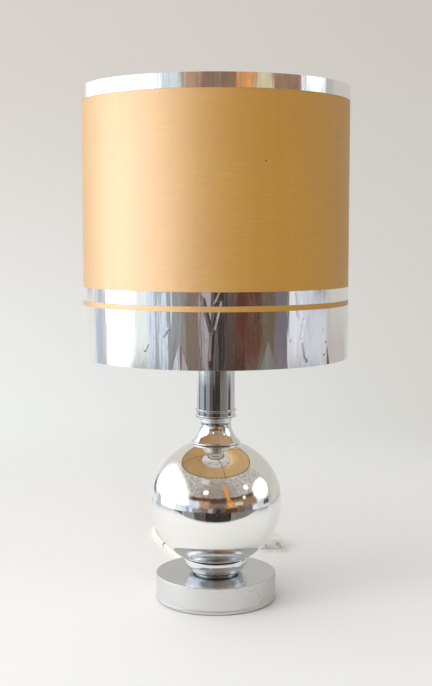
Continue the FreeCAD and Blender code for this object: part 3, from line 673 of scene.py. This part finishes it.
def threaded(bm, crest, root, pitch, bottom, turns):
    """Adds a round thread, one wave of the wall wound up the axis; all in millimetres."""
    start = len(bm.verts)
    middle = (crest + root) / 2
    verts = [bm.verts.new((radius * MM, 0, (bottom + pitch * i / 4) * MM))
             for i, radius in enumerate((root, middle, crest, middle, root))]
    edges = [bm.edges.new(pair) for pair in zip(verts, verts[1:])]
    bmesh.ops.spin(bm, geom=verts + edges, cent=(0, 0, 0), axis=(0, 0, 1),
                   dvec=(0, 0, pitch * MM / THREAD_STEPS), angle=TURN * turns,
                   steps=THREAD_STEPS * turns, use_merge=False, use_duplicate=False)
    bm.verts.ensure_lookup_table()
    bmesh.ops.remove_doubles(bm, verts=bm.verts[start:], dist=WELD * 10)


# Base and stem


def base_pieces():
    """The drum with its rolled foot and pressed line."""
    radius, lift, top = span("base_shell")
    line, dent, roll, sheet = 5.0, 0.7, 3.2, BASE_SHEET
    inside = radius - sheet
    turned("drum", [
        (radius - roll, lift), (radius, lift, 1.8), (radius, line - dent, 0.5),
        (radius - dent, line, 0.5), (radius, line + dent, 0.5), (radius, top, 1.0), (ROD_HOLE, top),
        (ROD_HOLE, top - sheet), (inside, top - sheet, 0.4), (inside, line + sheet),
        (radius - roll, line + sheet, 0.8)],
        "base_shell", "satin_chrome", steps=256)


def cup_pieces():
    """Foot disc and the cup that carries the globe."""
    disc, bottom, top = span("foot_disc")
    turned("foot_ring", ring(ROD_HOLE, disc, bottom, top, 0.5), "foot_disc")
    rim, low, high = span("globe_cup")
    foot, wall, lip = rim - 10.1, 1.6, high + 0.9
    turned("cup", [
        (ROD_HOLE, low), (foot, low), (foot + 4.0, low + 0.7, 6), (rim, low + 9.5, 9),
        (rim, lip, 0.75), (rim - wall, lip, 0.75), (rim - wall, low + 10.2, 7),
        (foot + 2.6, low + wall, 4), (ROD_HOLE, low + wall)], "globe_cup")


def globe_piece():
    """Blown glass, silvered, open at both poles where the rod passes."""
    radius, low, high = span("globe")
    hole, wall, rise = 14.0, 2.2, 73.0
    centre = (low + high) / 2
    bm = bmesh.new()
    bmesh.ops.create_uvsphere(bm, u_segments=224, v_segments=128, radius=1.0)
    bmesh.ops.scale(bm, vec=Vector((radius, radius, rise)) * MM, verts=bm.verts[:])
    cut = rise * math.sqrt(1 - (hole / radius) ** 2) * MM
    for side in (-1, 1):
        bmesh.ops.bisect_plane(bm, geom=bm.verts[:] + bm.edges[:] + bm.faces[:],
                               plane_co=(0, 0, side * cut), plane_no=(0, 0, side), clear_outer=True)
    bmesh.ops.translate(bm, vec=(0, 0, centre * MM), verts=bm.verts[:])
    bmesh.ops.recalc_face_normals(bm, faces=bm.faces[:])
    bmesh.ops.solidify(bm, geom=bm.faces[:], thickness=wall * MM)
    piece("glass_globe", bm, "globe", "mirrored_glass")


def neck_pieces():
    """Flared neck, step ring, beaded collar, tube and its cap."""
    rim, low, high = span("neck_bell")
    low = low - 0.3
    bead, neck, wall, slope = 1.4, 17.5, 1.0, 0.775
    foot, lip, bore = rim - bead - 0.3, rim - 2.3, neck - wall
    lean = math.hypot(1, slope)

    def outside(radius):
        return low + 2 * bead + (foot - radius) / slope

    def inside(radius):
        return outside(radius) - wall * lean / slope

    turned("flared_neck", [
        (lip, low + 0.6), (rim, low, bead), (rim, outside(foot), bead), (foot, outside(foot), 0.4),
        (neck, outside(neck), 24), (neck, high, 0.6), (ROD_HOLE, high), (ROD_HOLE, high - wall),
        (bore, high - wall), (bore, inside(bore), 25), (lip, inside(lip))], "neck_bell")
    rim, low, high = span("neck_ring")
    half = (high - low) / 2
    bead = half / 2 * 0.9
    turned("step_ring", [
        (ROD_HOLE, low), (rim, low, bead), (rim, low + half - 0.2, bead), (rim - 0.9, low + half),
        (rim, low + half + 0.2, bead), (rim, high, bead), (ROD_HOLE, high)], "neck_ring")
    rim, low, high = span("tube_collar")
    top, waist, bead, spigot = span("neck_tube")[1], rim - 1.3, 2.2, 20.95
    turned("beaded_collar", [
        (ROD_HOLE, low), (rim, low, 0.5), (rim, low + bead, 0.5), (waist, low + bead),
        (waist, top - bead), (rim, top - bead, 0.5), (rim, top, 0.5), (spigot, top),
        (spigot, high, 0.5), (spigot - 2.4, high), (spigot - 2.4, low + 3), (ROD_HOLE, low + 3)],
        "tube_collar")
    radius, low, high = span("neck_tube")
    turned("stem_tube", ring(radius - 1, radius, low, high, 0.15), "neck_tube")
    level = high
    radius, low, high = span("tube_cap")
    turned("stem_cap", [(ROD_HOLE, low), (spigot, low, 0.5), (spigot, level), (radius, level),
                        (radius, high, 0.8), (ROD_HOLE, high)], "tube_cap")


# Lampholder and bulb


def holder_pieces():
    """Threaded skirt and knurled shade rings of the lampholder."""
    radius, low, high = span("holder_skirt")
    core, _, core_top = span("holder_core")
    root, bore, seat, lip = radius - 0.55, 14.8, core + 0.2, core_top + 1.5
    bm = profile([
        (seat, low), (root - 0.1, low, 0.5), (root - 0.1, high, 1.2), (bore, high, 0.8),
        (bore, high - 4), (radius - 2.2, high - 5), (radius - 2.2, lip), (seat, lip)])
    spun(bm, 128)
    threaded(bm, radius, root, 2.4, low + 0.8, 12)
    piece("holder_thread", bm, "holder_skirt", "holder_resin", sharp=50.0)
    hole, outer, teeth, notch = radius + 0.05, 28.0, 24, 0.028
    for node in ("shade_ring_lower", "shade_ring_upper"):
        bottom, top = span(node)[1:]
        bm = profile(ring(hole, outer, bottom, top, 0.8))
        spun(bm, 144)
        for vert in [v for v in bm.verts if math.hypot(v.co.x, v.co.y) > (outer - 0.9) * MM]:
            swell = max(0.0, math.cos(math.atan2(vert.co.y, vert.co.x) * teeth)) ** 2
            bmesh.ops.scale(bm, vec=(1 - notch * swell, 1 - notch * swell, 1.0), verts=[vert])
        bmesh.ops.recalc_face_normals(bm, faces=bm.faces[:])
        piece("grip_" + node.rsplit("_", 1)[1], bm, node, "holder_resin", sharp=40.0)


def bulb_cap():
    """The bulb's cap with its round thread."""
    low, high = span("bulb_cap")[1:]
    root, crest = 12.2, 13.2
    bm = profile([
        (9.5, low), (root - 0.3, low, 0.6), (root, low + 2.6), (root - 0.05, high - 2.4),
        (13.0, high - 1.4, 0.4), (13.0, high), (12.5, high), (12.4, high - 2), (11.6, low + 2),
        (9.5, low + 0.6)])
    spun(bm, 96)
    threaded(bm, crest, root, settings().thread_pitch / MM, low + 1.6, 4)
    piece("bulb_thread", bm, "bulb_cap", "bulb_cap_metal", "bulb", sharp=60.0)


def filament():
    """The bulb's coiled wire on two supports, in metres."""
    low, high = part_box("bulb_filament")
    level = high.z - 0.0007
    half, reach, coil, wire, support = 0.01, 0.01008, 0.0005, 0.00011, 0.0003
    coils, steps = 26, 12
    bm = bmesh.new()
    bmesh.ops.create_circle(bm, segments=8, radius=wire,
                            matrix=Matrix.Translation((-half, 0, level + coil)))
    bmesh.ops.spin(bm, geom=bm.verts[:] + bm.edges[:], cent=(-half, 0, level), axis=(1, 0, 0),
                   dvec=(2 * half / (coils * steps), 0, 0), angle=TURN * coils, steps=coils * steps,
                   use_duplicate=False)
    bmesh.ops.holes_fill(bm, edges=[e for e in bm.edges if e.is_boundary], sides=8)
    for side in (-1, 1):
        points = [Vector((x * side, 0, z)) for x, z in
                  ((0.0012, low.z), (0.003, low.z + 0.004), (reach, level))]
        for start, end in zip(points, points[1:]):
            place = Matrix.Translation((start + end) / 2)
            turn = (end - start).to_track_quat("Z", "Y").to_matrix().to_4x4()
            bmesh.ops.create_cone(bm, cap_ends=True, segments=12, radius1=support, radius2=support,
                                  depth=(end - start).length + support, matrix=place @ turn)
    bmesh.ops.recalc_face_normals(bm, faces=bm.faces[:])
    piece("filament", bm, "bulb_filament", "filament_wire", "bulb")


# Shade


def drum_wall(name, inner, outer, node, material, rounding=0.0):
    """A thin ring of the shade, as high as its node."""
    low, high = span(node)[1:]
    turned(name, ring(inner, outer, low, high, rounding), node, material, "shade",
           steps=settings().shade_steps)


def shade_pieces():
    """Fabric on its lining, and the three bands of foil."""
    drum_wall("satin_cover", 149.25, 149.65, "shade_fabric", "gold_fabric")
    drum_wall("lining", 148.5, 149.2, "shade_liner", "shade_lining")
    for name in ("wide", "narrow", "top"):
        drum_wall("foil_" + name, 149.7, 150.0, "band_" + name, "mirror_foil", 0.12)


# Mains lead, in millimetres and degrees

LEAD_ANGLE = 104.0
LEAD_HEIGHT = 12.0
BASE_RADIUS = 69.4
BUSH_TAIL = 20.0

# Its control points, as in the CAD: to the switch, on to the coil, and on to the plug
LEAD_ROUTE = [(-31.4, 118.2, 7.6), (-38.7, 135.8, 3.5), (-48.7, 157.6, 2.8), (-58.7, 183.7, 2.8),
              (-68.0, 212.2, 2.8), (-76.6, 243.0, 2.8), (-84.3, 274.0, 2.8), (-87.0, 302.0, 2.8),
              (-80.5, 322.5, 3.4), (-67.5, 334.5, 6.9), (-50.0, 338.4, 7.8)]
RUN_ROUTE = [(7.43, 346.47, 7.8), (21.3, 348.4, 7.4), (34.7, 344.3, 5.4), (45.1, 334.9, 3.4),
             (50.6, 322.0, 2.8), (50.6, 307.0, 2.8), (46.8, 287.4, 2.8)]
TAIL_ROUTE = [(-2.0, 296.0, 8.4), (17.0, 297.6, 8.9), (36.0, 296.5, 9.4), (49.5, 292.9, 9.4),
              (59.4, 284.2, 8.2), (64.52, 270.87, 7.0), (66.4, 257.5, 7.0)]
COIL_CENTRE = (4.0, 258.0)
COIL_STEPS = 24  # control points in a turn
COIL_CLIMB = 120.0  # angle over which the lead rises to the upper layer


def behind_base(distance):
    """A point on the line of the lead's hole, that far from the lamp's axis."""
    a = math.radians(LEAD_ANGLE)
    return Vector((distance * math.cos(a), distance * math.sin(a), LEAD_HEIGHT)) * MM


def coil_points():
    """Two flat layers: in along the table, up at the middle and out again on top, clockwise."""
    first, turn_back, last = 17.0, -1207.0, -2420.0
    wide, narrow, out = 40.4, 22.0, 38.6
    low, high = 2.8, 8.3
    points = []
    angle = first
    while angle > last:
        inward = min(1.0, (first - angle) / (first - turn_back))
        outgoing = max(0.0, (turn_back - angle) / (turn_back - last))
        radius = wide + (narrow - wide) * inward + (out - narrow) * outgoing
        climb = min(1.0, max(0.0, (turn_back + COIL_CLIMB / 2 - angle) / COIL_CLIMB))
        a = math.radians(angle)
        points.append((COIL_CENTRE[0] + radius * math.cos(a), COIL_CENTRE[1] + radius * math.sin(a),
                       low + (high - low) * climb))
        angle -= 360.0 / COIL_STEPS
    return points


def lead_piece():
    """The lead as one smooth line from the bush through the switch and the coil to the plug."""
    tail = behind_base(BASE_RADIUS + BUSH_TAIL)
    level = behind_base(BASE_RADIUS + BUSH_TAIL + 15)
    route = LEAD_ROUTE + RUN_ROUTE + coil_points() + TAIL_ROUTE
    points = [tail, level] + [Vector(point) * MM for point in route]
    curve = bpy.data.curves.new("mains_lead", "CURVE")
    curve.dimensions = "3D"
    curve.bevel_depth = settings().lead_thickness / 2
    curve.bevel_resolution = 5
    curve.use_fill_caps = True
    spline = curve.splines.new("NURBS")
    spline.points.add(len(points) - 1)
    for point, place in zip(spline.points, points):
        point.co = (*place, 1.0)
    spline.order_u = 3
    spline.use_endpoint_u = True
    spline.resolution_u = 6
    lead = placed("mains_lead", curve)
    curve.materials.append(finish("lead_sheath"))
    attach(lead, "root")
    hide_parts("lead_first", "lead_second", "lead_last", "lead_coil")


def bush_piece():
    """Rubber bush in the base's back with a ribbed tail round the lead."""
    bore, neck, flange = 2.75, 4.6, 6.2
    inside = BASE_RADIUS - BASE_SHEET
    outside = BASE_RADIUS + 0.1
    outline = [(bore, inside - 3), (neck + 0.8, inside - 3, 0.4), (neck + 0.8, inside - 1.2),
               (neck, inside - 1), (neck, outside), (flange, outside, 0.4),
               (flange, outside + 2.3, 0.8)]
    ribs, thick, thin, gap = 5, 4.9, 3.8, 0.15
    start, end = outside + 3.6, BASE_RADIUS + BUSH_TAIL
    rib = (end - start) / ribs
    for i in range(ribs):
        low, high, following = start + rib * i, start + rib * (i + 0.6), start + rib * (i + 1)
        radius = thick - (thick - thin) * i / (ribs - 1)
        outline += [(radius, low, 0.25), (radius - 0.1, high, 0.25)]
        if i < ribs - 1:
            outline += [(radius - 0.8, high + gap), (radius - 0.8, following - gap)]
    outline += [(3.6, end - 0.3), (bore, end)]
    bm = profile(outline)
    spun(bm, 64)
    lie = Matrix.Rotation(TURN / 4, 4, "Y")
    turn = Matrix.Rotation(math.radians(LEAD_ANGLE), 4, "Z")
    lift = Matrix.Translation((0, 0, LEAD_HEIGHT * MM))
    bmesh.ops.transform(bm, matrix=lift @ turn @ lie, verts=bm.verts[:])
    piece("ribbed_bush", bm, "lead_bush", "rubber")


# Studio

TABLE_RADIUS = 2.2


def table_finish(s):
    """Matt white table that fades out far from the lamp, and in front of it for mirrors."""
    x, y, _ = s.split()
    white = colours().floor
    grain = s.noise(240)
    cloud = s.noise(3, 2)
    board = s.node("ShaderNodeBsdfPrincipled", inputs={
        "Base Color": s.mix(cloud * 0.3, white, tint(white, 0.97)), "Roughness": 0.6,
        "Normal": s.bump(grain, 0.00004)})
    clear = s.node("ShaderNodeBsdfTransparent")
    far = distance(x, y - 0.1).step(0.35, 1.25)
    front = 1 - y.step(-0.34, -0.27)
    glossy = s.node("ShaderNodeLightPath", output="Is Glossy Ray")
    s.output(s.node("ShaderNodeMixShader", inputs={
        0: far.math("MAXIMUM", glossy * front), 1: board, 2: clear}))


# What stands round the lamp, seen only in its mirrors, later things in front of earlier ones:
# (left, right, low, high, soft border) in degrees, colour
ROOM = [
    (-76, 78, -60, 20, 4, (0.13, 0.06, 0.036)),  # brown wall
    (-34, 78, 1, 15, 3, (0.33, 0.185, 0.105)),  # its lit upper part
    (-31, -12, 2, 13, 2, (0.56, 0.33, 0.2)),  # lamp-lit corner
    (-11, 12, 2, 10, 2, (0.28, 0.145, 0.085)),  # lintel
    (-9, 18, 9.5, 18, 2, (0.08, 0.06, 0.05)),  # dark beam over it
    (-84, -30, -60, 13, 2, (0.78, 0.88, 1.0)),  # curtain
    (-84, -60, -60, 13, 2, (0.95, 1.0, 1.0)),  # its lit edge
    (-52, -46, -60, 1, 1.5, (0.44, 0.46, 0.54)),  # its fold
    (-41, -30, -60, 0, 1.5, (0.32, 0.34, 0.36)),  # screen
    (-80, -51, 2, 12, 2, (1.0, 1.0, 1.0)),  # light over the curtain
    (-51, -28, 2, 12, 2, (0.82, 0.92, 1.0)),
    (-30, -24, -60, 1, 1.5, (0.3, 0.28, 0.24)),  # sideboard
    (-24, -13, -60, 1, 2, (0.23, 0.17, 0.13)),
    (-13, -5, -60, 1, 1, (0.44, 0.4, 0.42)),  # door frame
    (-5, 0, -60, 2, 1, (0.12, 0.11, 0.1)),
    (0, 9, -60, 3, 1, (0.035, 0.03, 0.035)),  # doorway
    (9, 16, -60, 1, 1.5, (0.1, 0.07, 0.06)),
    (16, 36, -60, 1, 2, (0.11, 0.034, 0.017)),  # brown door
    (36, 50, -60, 1, 1.5, (0.15, 0.11, 0.07)),  # cupboard
    (50, 68, -60, 1, 1.5, (0.19, 0.16, 0.19)),
    (33, 48, 4, 10, 1.5, (0.8, 0.72, 0.48)),  # lit shelf
    (20.5, 31, 2, 12, 1.5, (0.95, 0.38, 0.08)),  # amber glass
    (66, 78, -60, 2, 1.5, (0.88, 0.9, 0.97)),  # bright frame
    (75, 106, -60, 22, 2, (0.68, 0.7, 0.77)),  # pale wall
    (77, 102, 2, 14, 2, (0.94, 0.96, 1.0)),
    (-36, -17, 44, 53, 3, (0.66, 0.64, 0.6)),  # ceiling lamp
    (3, 15, 1, 4.6, 1.5, (0.075, 0.058, 0.05)),  # dark picture
    (36, 49, 0, 4.4, 1.5, (0.15, 0.11, 0.06)),  # foot of the shelf
    (90, 104, -3, 3.5, 1.5, (0.09, 0.075, 0.07)),  # right cupboard
    (-150, -131, -2.5, 4.5, 1.5, (0.2, 0.23, 0.31)),  # left chairs
    (108, 150, -9, -4.6, 3, (0.53, 0.49, 0.475)),  # foot of the far wall
    (-146, -134, -18, -8, 1, (0.32, 0.36, 0.42)),  # far chair
    (-121, -112, -7, 2, 1, (0.5, 0.58, 0.7)),  # window post
    (-126, -110, -60, -7.1, 1, (0.2, 0.27, 0.31)),
    (-109, -78, -60, -7.1, 1, (0.42, 0.5, 0.53)),  # window wall
    (-77, -58, -60, -7.1, 1, (0.12, 0.12, 0.13)),
    (-57, -38, -60, -7.1, 1, (0.32, 0.32, 0.33)),
    (-37, -18, -60, -7.1, 1, (0.1, 0.09, 0.09)),
    (-18, 26, -60, -7.1, 1, (0.028, 0.02, 0.018)),  # dark floor
    (26, 35, -60, -7.1, 1, (0.24, 0.21, 0.18)),
    (34, 54, -60, -7.1, 1, (0.2, 0.2, 0.17)),
    (55, 76, -60, -6.6, 1, (0.24, 0.23, 0.22)),
    (78, 101, -60, -7.1, 1, (0.075, 0.075, 0.08)),
]
# Bright panes: (middle, level, half width, half height, sill) in degrees, soft border as a share,
# strength
WINDOWS = [
    (-95, 12, 46, 30, 2, 0.16, 1.7),
    (-91, 0, 17, 16, -6.9, 0.2, 1.7),
    (92, 18, 20, 12.5, -6.9, 0.14, 1.6),
    (-19, 30, 5, 4, -6.9, 0.3, 1.6),
    (62, 31, 5, 4, -6.9, 0.3, 1.6),
    (52, 16, 2.5, 2.5, -6.9, 0.4, 1.3),
]


def mirrored_room(s, backdrop):
    """What mirrors show of the room: its colours, and how strong its bright panes make them."""
    x, y, z = s.split()
    uneven = s.noise(11, 5, 0.75) - 0.5
    uneven_too = s.noise((-13, -13, 13), 5, 0.75) - 0.5
    ragged = s.noise(46, 3, 0.6) - 0.5
    ragged_too = s.noise((-52, 52, -52), 3, 0.6) - 0.5
    level = z.math("ARCSINE") * DEGREES
    torn = level.step(-4, 1) * (1 - level.step(16, 22))
    around = x.math("ARCTAN2", -y) * DEGREES + uneven * 7.0 + ragged * 13.0 * torn
    tall = level + uneven_too * 9.0 * level.step(-6, 3) + ragged_too * 9.0 * torn

    mottle = s.noise(16, 5, 0.75).step(0.35, 0.65)
    room = s.mix(mottle, (0.34, 0.31, 0.275), (0.66, 0.64, 0.6))
    warm = around.between(-30, 40, 25) * (1 - tall.step(30, 70))
    room = s.mix(warm * 0.7, room, (0.27, 0.2, 0.14))
    cracks = s.cells(2.6, {"feature": "DISTANCE_TO_EDGE"})
    room = s.mix((1 - cracks.step(0.004, 0.018)) * 0.55, room, (0.2, 0.19, 0.18))
    behind = around.math("ABSOLUTE").step(104, 118)
    room = s.mix(behind, room, backdrop)

    for left, right, low, high, soft, colour in ROOM:
        here = around.between(left, right, soft) * tall.between(low, high, min(soft, 1.5))
        room = s.mix(here, room, colour)

    near = (1 - tall.step(10, 16)) * (1 - behind)
    clutter = s.noise(34, 4, 0.7)
    calm = 0.55 + level.step(-5, 2) * 0.45
    room = s.mix(clutter.step(0.54, 0.6) * near * calm * 0.42, room, (0.05, 0.045, 0.045))
    room = s.mix((1 - clutter.step(0.38, 0.44)) * near * 0.24, room, (0.62, 0.6, 0.58))
    crumbs = s.noise(62, 3, 0.7)
    above = near * level.step(-3, 2) * (1.5 - level.step(3, 5) * 0.5)
    room = s.mix(crumbs.step(0.53, 0.58) * above * 0.4, room, (0.07, 0.06, 0.055))
    room = s.mix((1 - crumbs.step(0.4, 0.45)) * above * 0.3, room, (0.66, 0.63, 0.58))
    slant = (around - 27 + tall * 0.22).between(-3, 3, 1.0) * tall.between(14, 42, 2)
    room = s.mix(slant, room, (0.8, 0.3, 0.06))

    strength = 1.0
    for middle, centre, wide, high, sill, soft, bright in WINDOWS:
        pane = spot((around - middle) / wide, (tall - centre) / high, 1 - soft, 1 + soft)
        pane = pane * tall.step(sill - 0.7, sill + 0.7)
        room = s.mix(pane, room, (0.94, 0.97, 1.0))
        strength = strength + pane * (bright - 1)
    return room, strength


def room_light(s):
    """Pale backdrop for the eye, a lived-in room for mirrors, plain even light for all else."""
    x, _, z = s.split()
    left_side = s.mix(z.step(-0.2, 0.2), (0.9, 0.915, 0.9), (0.7, 0.66, 0.61))
    right_side = s.mix(z.step(-0.24, 0.24), (0.64, 0.635, 0.6), (0.59, 0.565, 0.52))
    backdrop = s.mix(x.step(-0.34, 0.34), left_side, right_side)
    room, strength = mirrored_room(s, backdrop)
    even = s.mix(x.step(-1.0, 1.0), (1.12, 1.12, 1.11), (0.21, 0.207, 0.203))
    even = s.mix((1 - x.step(-0.6, 0.4)) * z.step(0.3, 0.8) * 0.4, even, (1.6, 1.6, 1.59))
    path = s.node("ShaderNodeLightPath", output="Is Camera Ray")
    glossy = path.other("Is Glossy Ray")
    seen = path.math("MAXIMUM", path.other("Is Transmission Ray"))
    light = s.node("ShaderNodeBackground", inputs={
        "Color": s.mix(seen, s.mix(glossy, even, room), backdrop),
        "Strength": 1 + (strength - 1) * glossy})
    s.node("ShaderNodeOutputWorld", inputs={"Surface": light})


# Soft lamps that mirrors don't show: place, target, width, height, watts, colour, and for the last
# one the only piece that shows it
LAMPS = {
    "window_light": ((-1.59, -0.845, 1.16), (0, 0, 0.36), 0.9, 1.3, 10.0, (1.0, 0.99, 0.97)),
    "fill_light": ((-0.7, -1.6, 1.9), (0, 0, 0.25), 1.8, 1.4, 10.5, (1.0, 0.98, 0.95)),
    "side_light": ((1.5, -1.0, 0.4), (0, 0, 0.4), 0.9, 0.5, 5.2, (1.0, 0.98, 0.95)),
    "pane_sheen": ((-1.8, -0.75, 0.38), (0, 0, 0.38), 3.0, 0.72, 92.0, (0.98, 0.99, 1.0),
                   "satin_cover"),
}


def lamp_light(name, place, target, width, height, power, colour, only=None):
    """An area lamp; with only, it is nothing but a sheen on that piece."""
    light = bpy.data.lights.new(name, "AREA")
    light.shape = "RECTANGLE"
    light.size = width
    light.size_y = height
    light.energy = power
    light.color = colour
    made = placed(name, light)
    made.location = place
    made.rotation_mode = "QUATERNION"
    made.rotation_quaternion = (Vector(target) - Vector(place)).to_track_quat("-Z", "Y")
    made.visible_camera = False
    made.visible_glossy = only is not None
    made.visible_diffuse = only is None
    if only:
        lit = bpy.data.collections.new(name + "_receivers")
        lit.objects.link(bpy.data.objects[only])
        made.light_linking.receiver_collection = lit


def studio():
    """Table top, room, lamps, and the camera at the photograph's angle."""
    bm = bmesh.new()
    bmesh.ops.create_circle(bm, cap_ends=True, segments=96, radius=TABLE_RADIUS)
    table = meshed("table_top", bm)
    table.data.materials.append(painted(bpy.data.materials.new("studio_table"), table_finish))
    scene = bpy.context.scene
    scene.world = painted(bpy.data.worlds.new("studio_room"), room_light, "Generated")
    for name, lamp in LAMPS.items():
        lamp_light(name, *lamp)
    lens = bpy.data.cameras.new("photo_camera")
    lens.sensor_width = SENSOR
    lens.lens = CAMERA_LENS
    camera = placed("photo_camera", lens)
    camera.location = CAMERA_PLACE
    camera.rotation_euler = (math.pi / 2 - CAMERA_PITCH, 0, 0)
    scene.camera = camera
    scene.view_settings.view_transform = "Standard"


# Carried-over pieces


def dress_nodes():
    """Gives each CAD piece that stays in view the finish of its slot."""
    for sub in frame["record"]["subparts"]:
        node = frame["nodes"][sub["node"]]
        if sub["material_slot"] in FINISHES:
            for slot in node.material_slots:
                slot.material = finish(sub["material_slot"])


# Operators and panel


class LAMP_OT_base(bpy.types.Operator):
    """Turn the chrome drum, its foot ring and the globe's cup"""

    bl_idname = "lamp.base"
    bl_label = "Base and cup"

    def execute(self, context):
        base_pieces()
        cup_pieces()
        return {"FINISHED"}


class LAMP_OT_globe(bpy.types.Operator):
    """Blow the silvered glass globe"""

    bl_idname = "lamp.globe"
    bl_label = "Globe"

    def execute(self, context):
        globe_piece()
        return {"FINISHED"}


class LAMP_OT_neck(bpy.types.Operator):
    """Turn the flared neck, its rings and the tube"""

    bl_idname = "lamp.neck"
    bl_label = "Neck"

    def execute(self, context):
        neck_pieces()
        return {"FINISHED"}


class LAMP_OT_holder(bpy.types.Operator):
    """Build the threaded skirt and the shade rings"""

    bl_idname = "lamp.holder"
    bl_label = "Lampholder"

    def execute(self, context):
        holder_pieces()
        return {"FINISHED"}


class LAMP_OT_bulb(bpy.types.Operator):
    """Build the bulb's thread and filament"""

    bl_idname = "lamp.bulb"
    bl_label = "Bulb"

    def execute(self, context):
        bulb_cap()
        filament()
        return {"FINISHED"}


class LAMP_OT_shade(bpy.types.Operator):
    """Build fabric, lining and foil bands"""

    bl_idname = "lamp.shade"
    bl_label = "Shade"

    def execute(self, context):
        shade_pieces()
        return {"FINISHED"}


class LAMP_OT_lead(bpy.types.Operator):
    """Lay the mains lead and its ribbed bush"""

    bl_idname = "lamp.lead"
    bl_label = "Lead"

    def execute(self, context):
        lead_piece()
        bush_piece()
        return {"FINISHED"}


class LAMP_OT_dress(bpy.types.Operator):
    """Give the pieces that stay as they are their finishes"""

    bl_idname = "lamp.dress"
    bl_label = "Other pieces"

    def execute(self, context):
        dress_nodes()
        return {"FINISHED"}


class LAMP_OT_studio(bpy.types.Operator):
    """Build table, room, lights and camera"""

    bl_idname = "lamp.studio"
    bl_label = "Studio"

    def execute(self, context):
        studio()
        return {"FINISHED"}


OPERATORS = [LAMP_OT_base, LAMP_OT_globe, LAMP_OT_neck, LAMP_OT_holder, LAMP_OT_bulb,
             LAMP_OT_shade, LAMP_OT_lead, LAMP_OT_dress, LAMP_OT_studio]


class LAMP_PT_build(bpy.types.Panel):
    """Sizes, colours and the steps that build the lamp."""

    bl_label = "Globe table lamp"
    bl_space_type = "VIEW_3D"
    bl_region_type = "UI"
    bl_category = "Lamp"

    def draw(self, context):
        for group in (context.scene.lamp_sizes, context.scene.lamp_colours):
            for name in group.bl_rna.properties.keys():
                if name not in ("rna_type", "name"):
                    self.layout.prop(group, name)
        for kind in OPERATORS:
            self.layout.operator(kind.bl_idname)


CLASSES = [LampSizes, LampColours, *OPERATORS, LAMP_PT_build]


def register():
    for kind in CLASSES:
        bpy.utils.register_class(kind)
    bpy.types.Scene.lamp_sizes = bpy.props.PointerProperty(type=LampSizes)
    bpy.types.Scene.lamp_colours = bpy.props.PointerProperty(type=LampColours)


def unregister():
    del bpy.types.Scene.lamp_colours
    del bpy.types.Scene.lamp_sizes
    for kind in reversed(CLASSES):
        bpy.utils.unregister_class(kind)


def main():
    """Builds the lamp and its studio."""
    register()
    for kind in OPERATORS:
        group, name = kind.bl_idname.split(".")
        getattr(getattr(bpy.ops, group), name)()


if __name__ == "__main__":
    main()
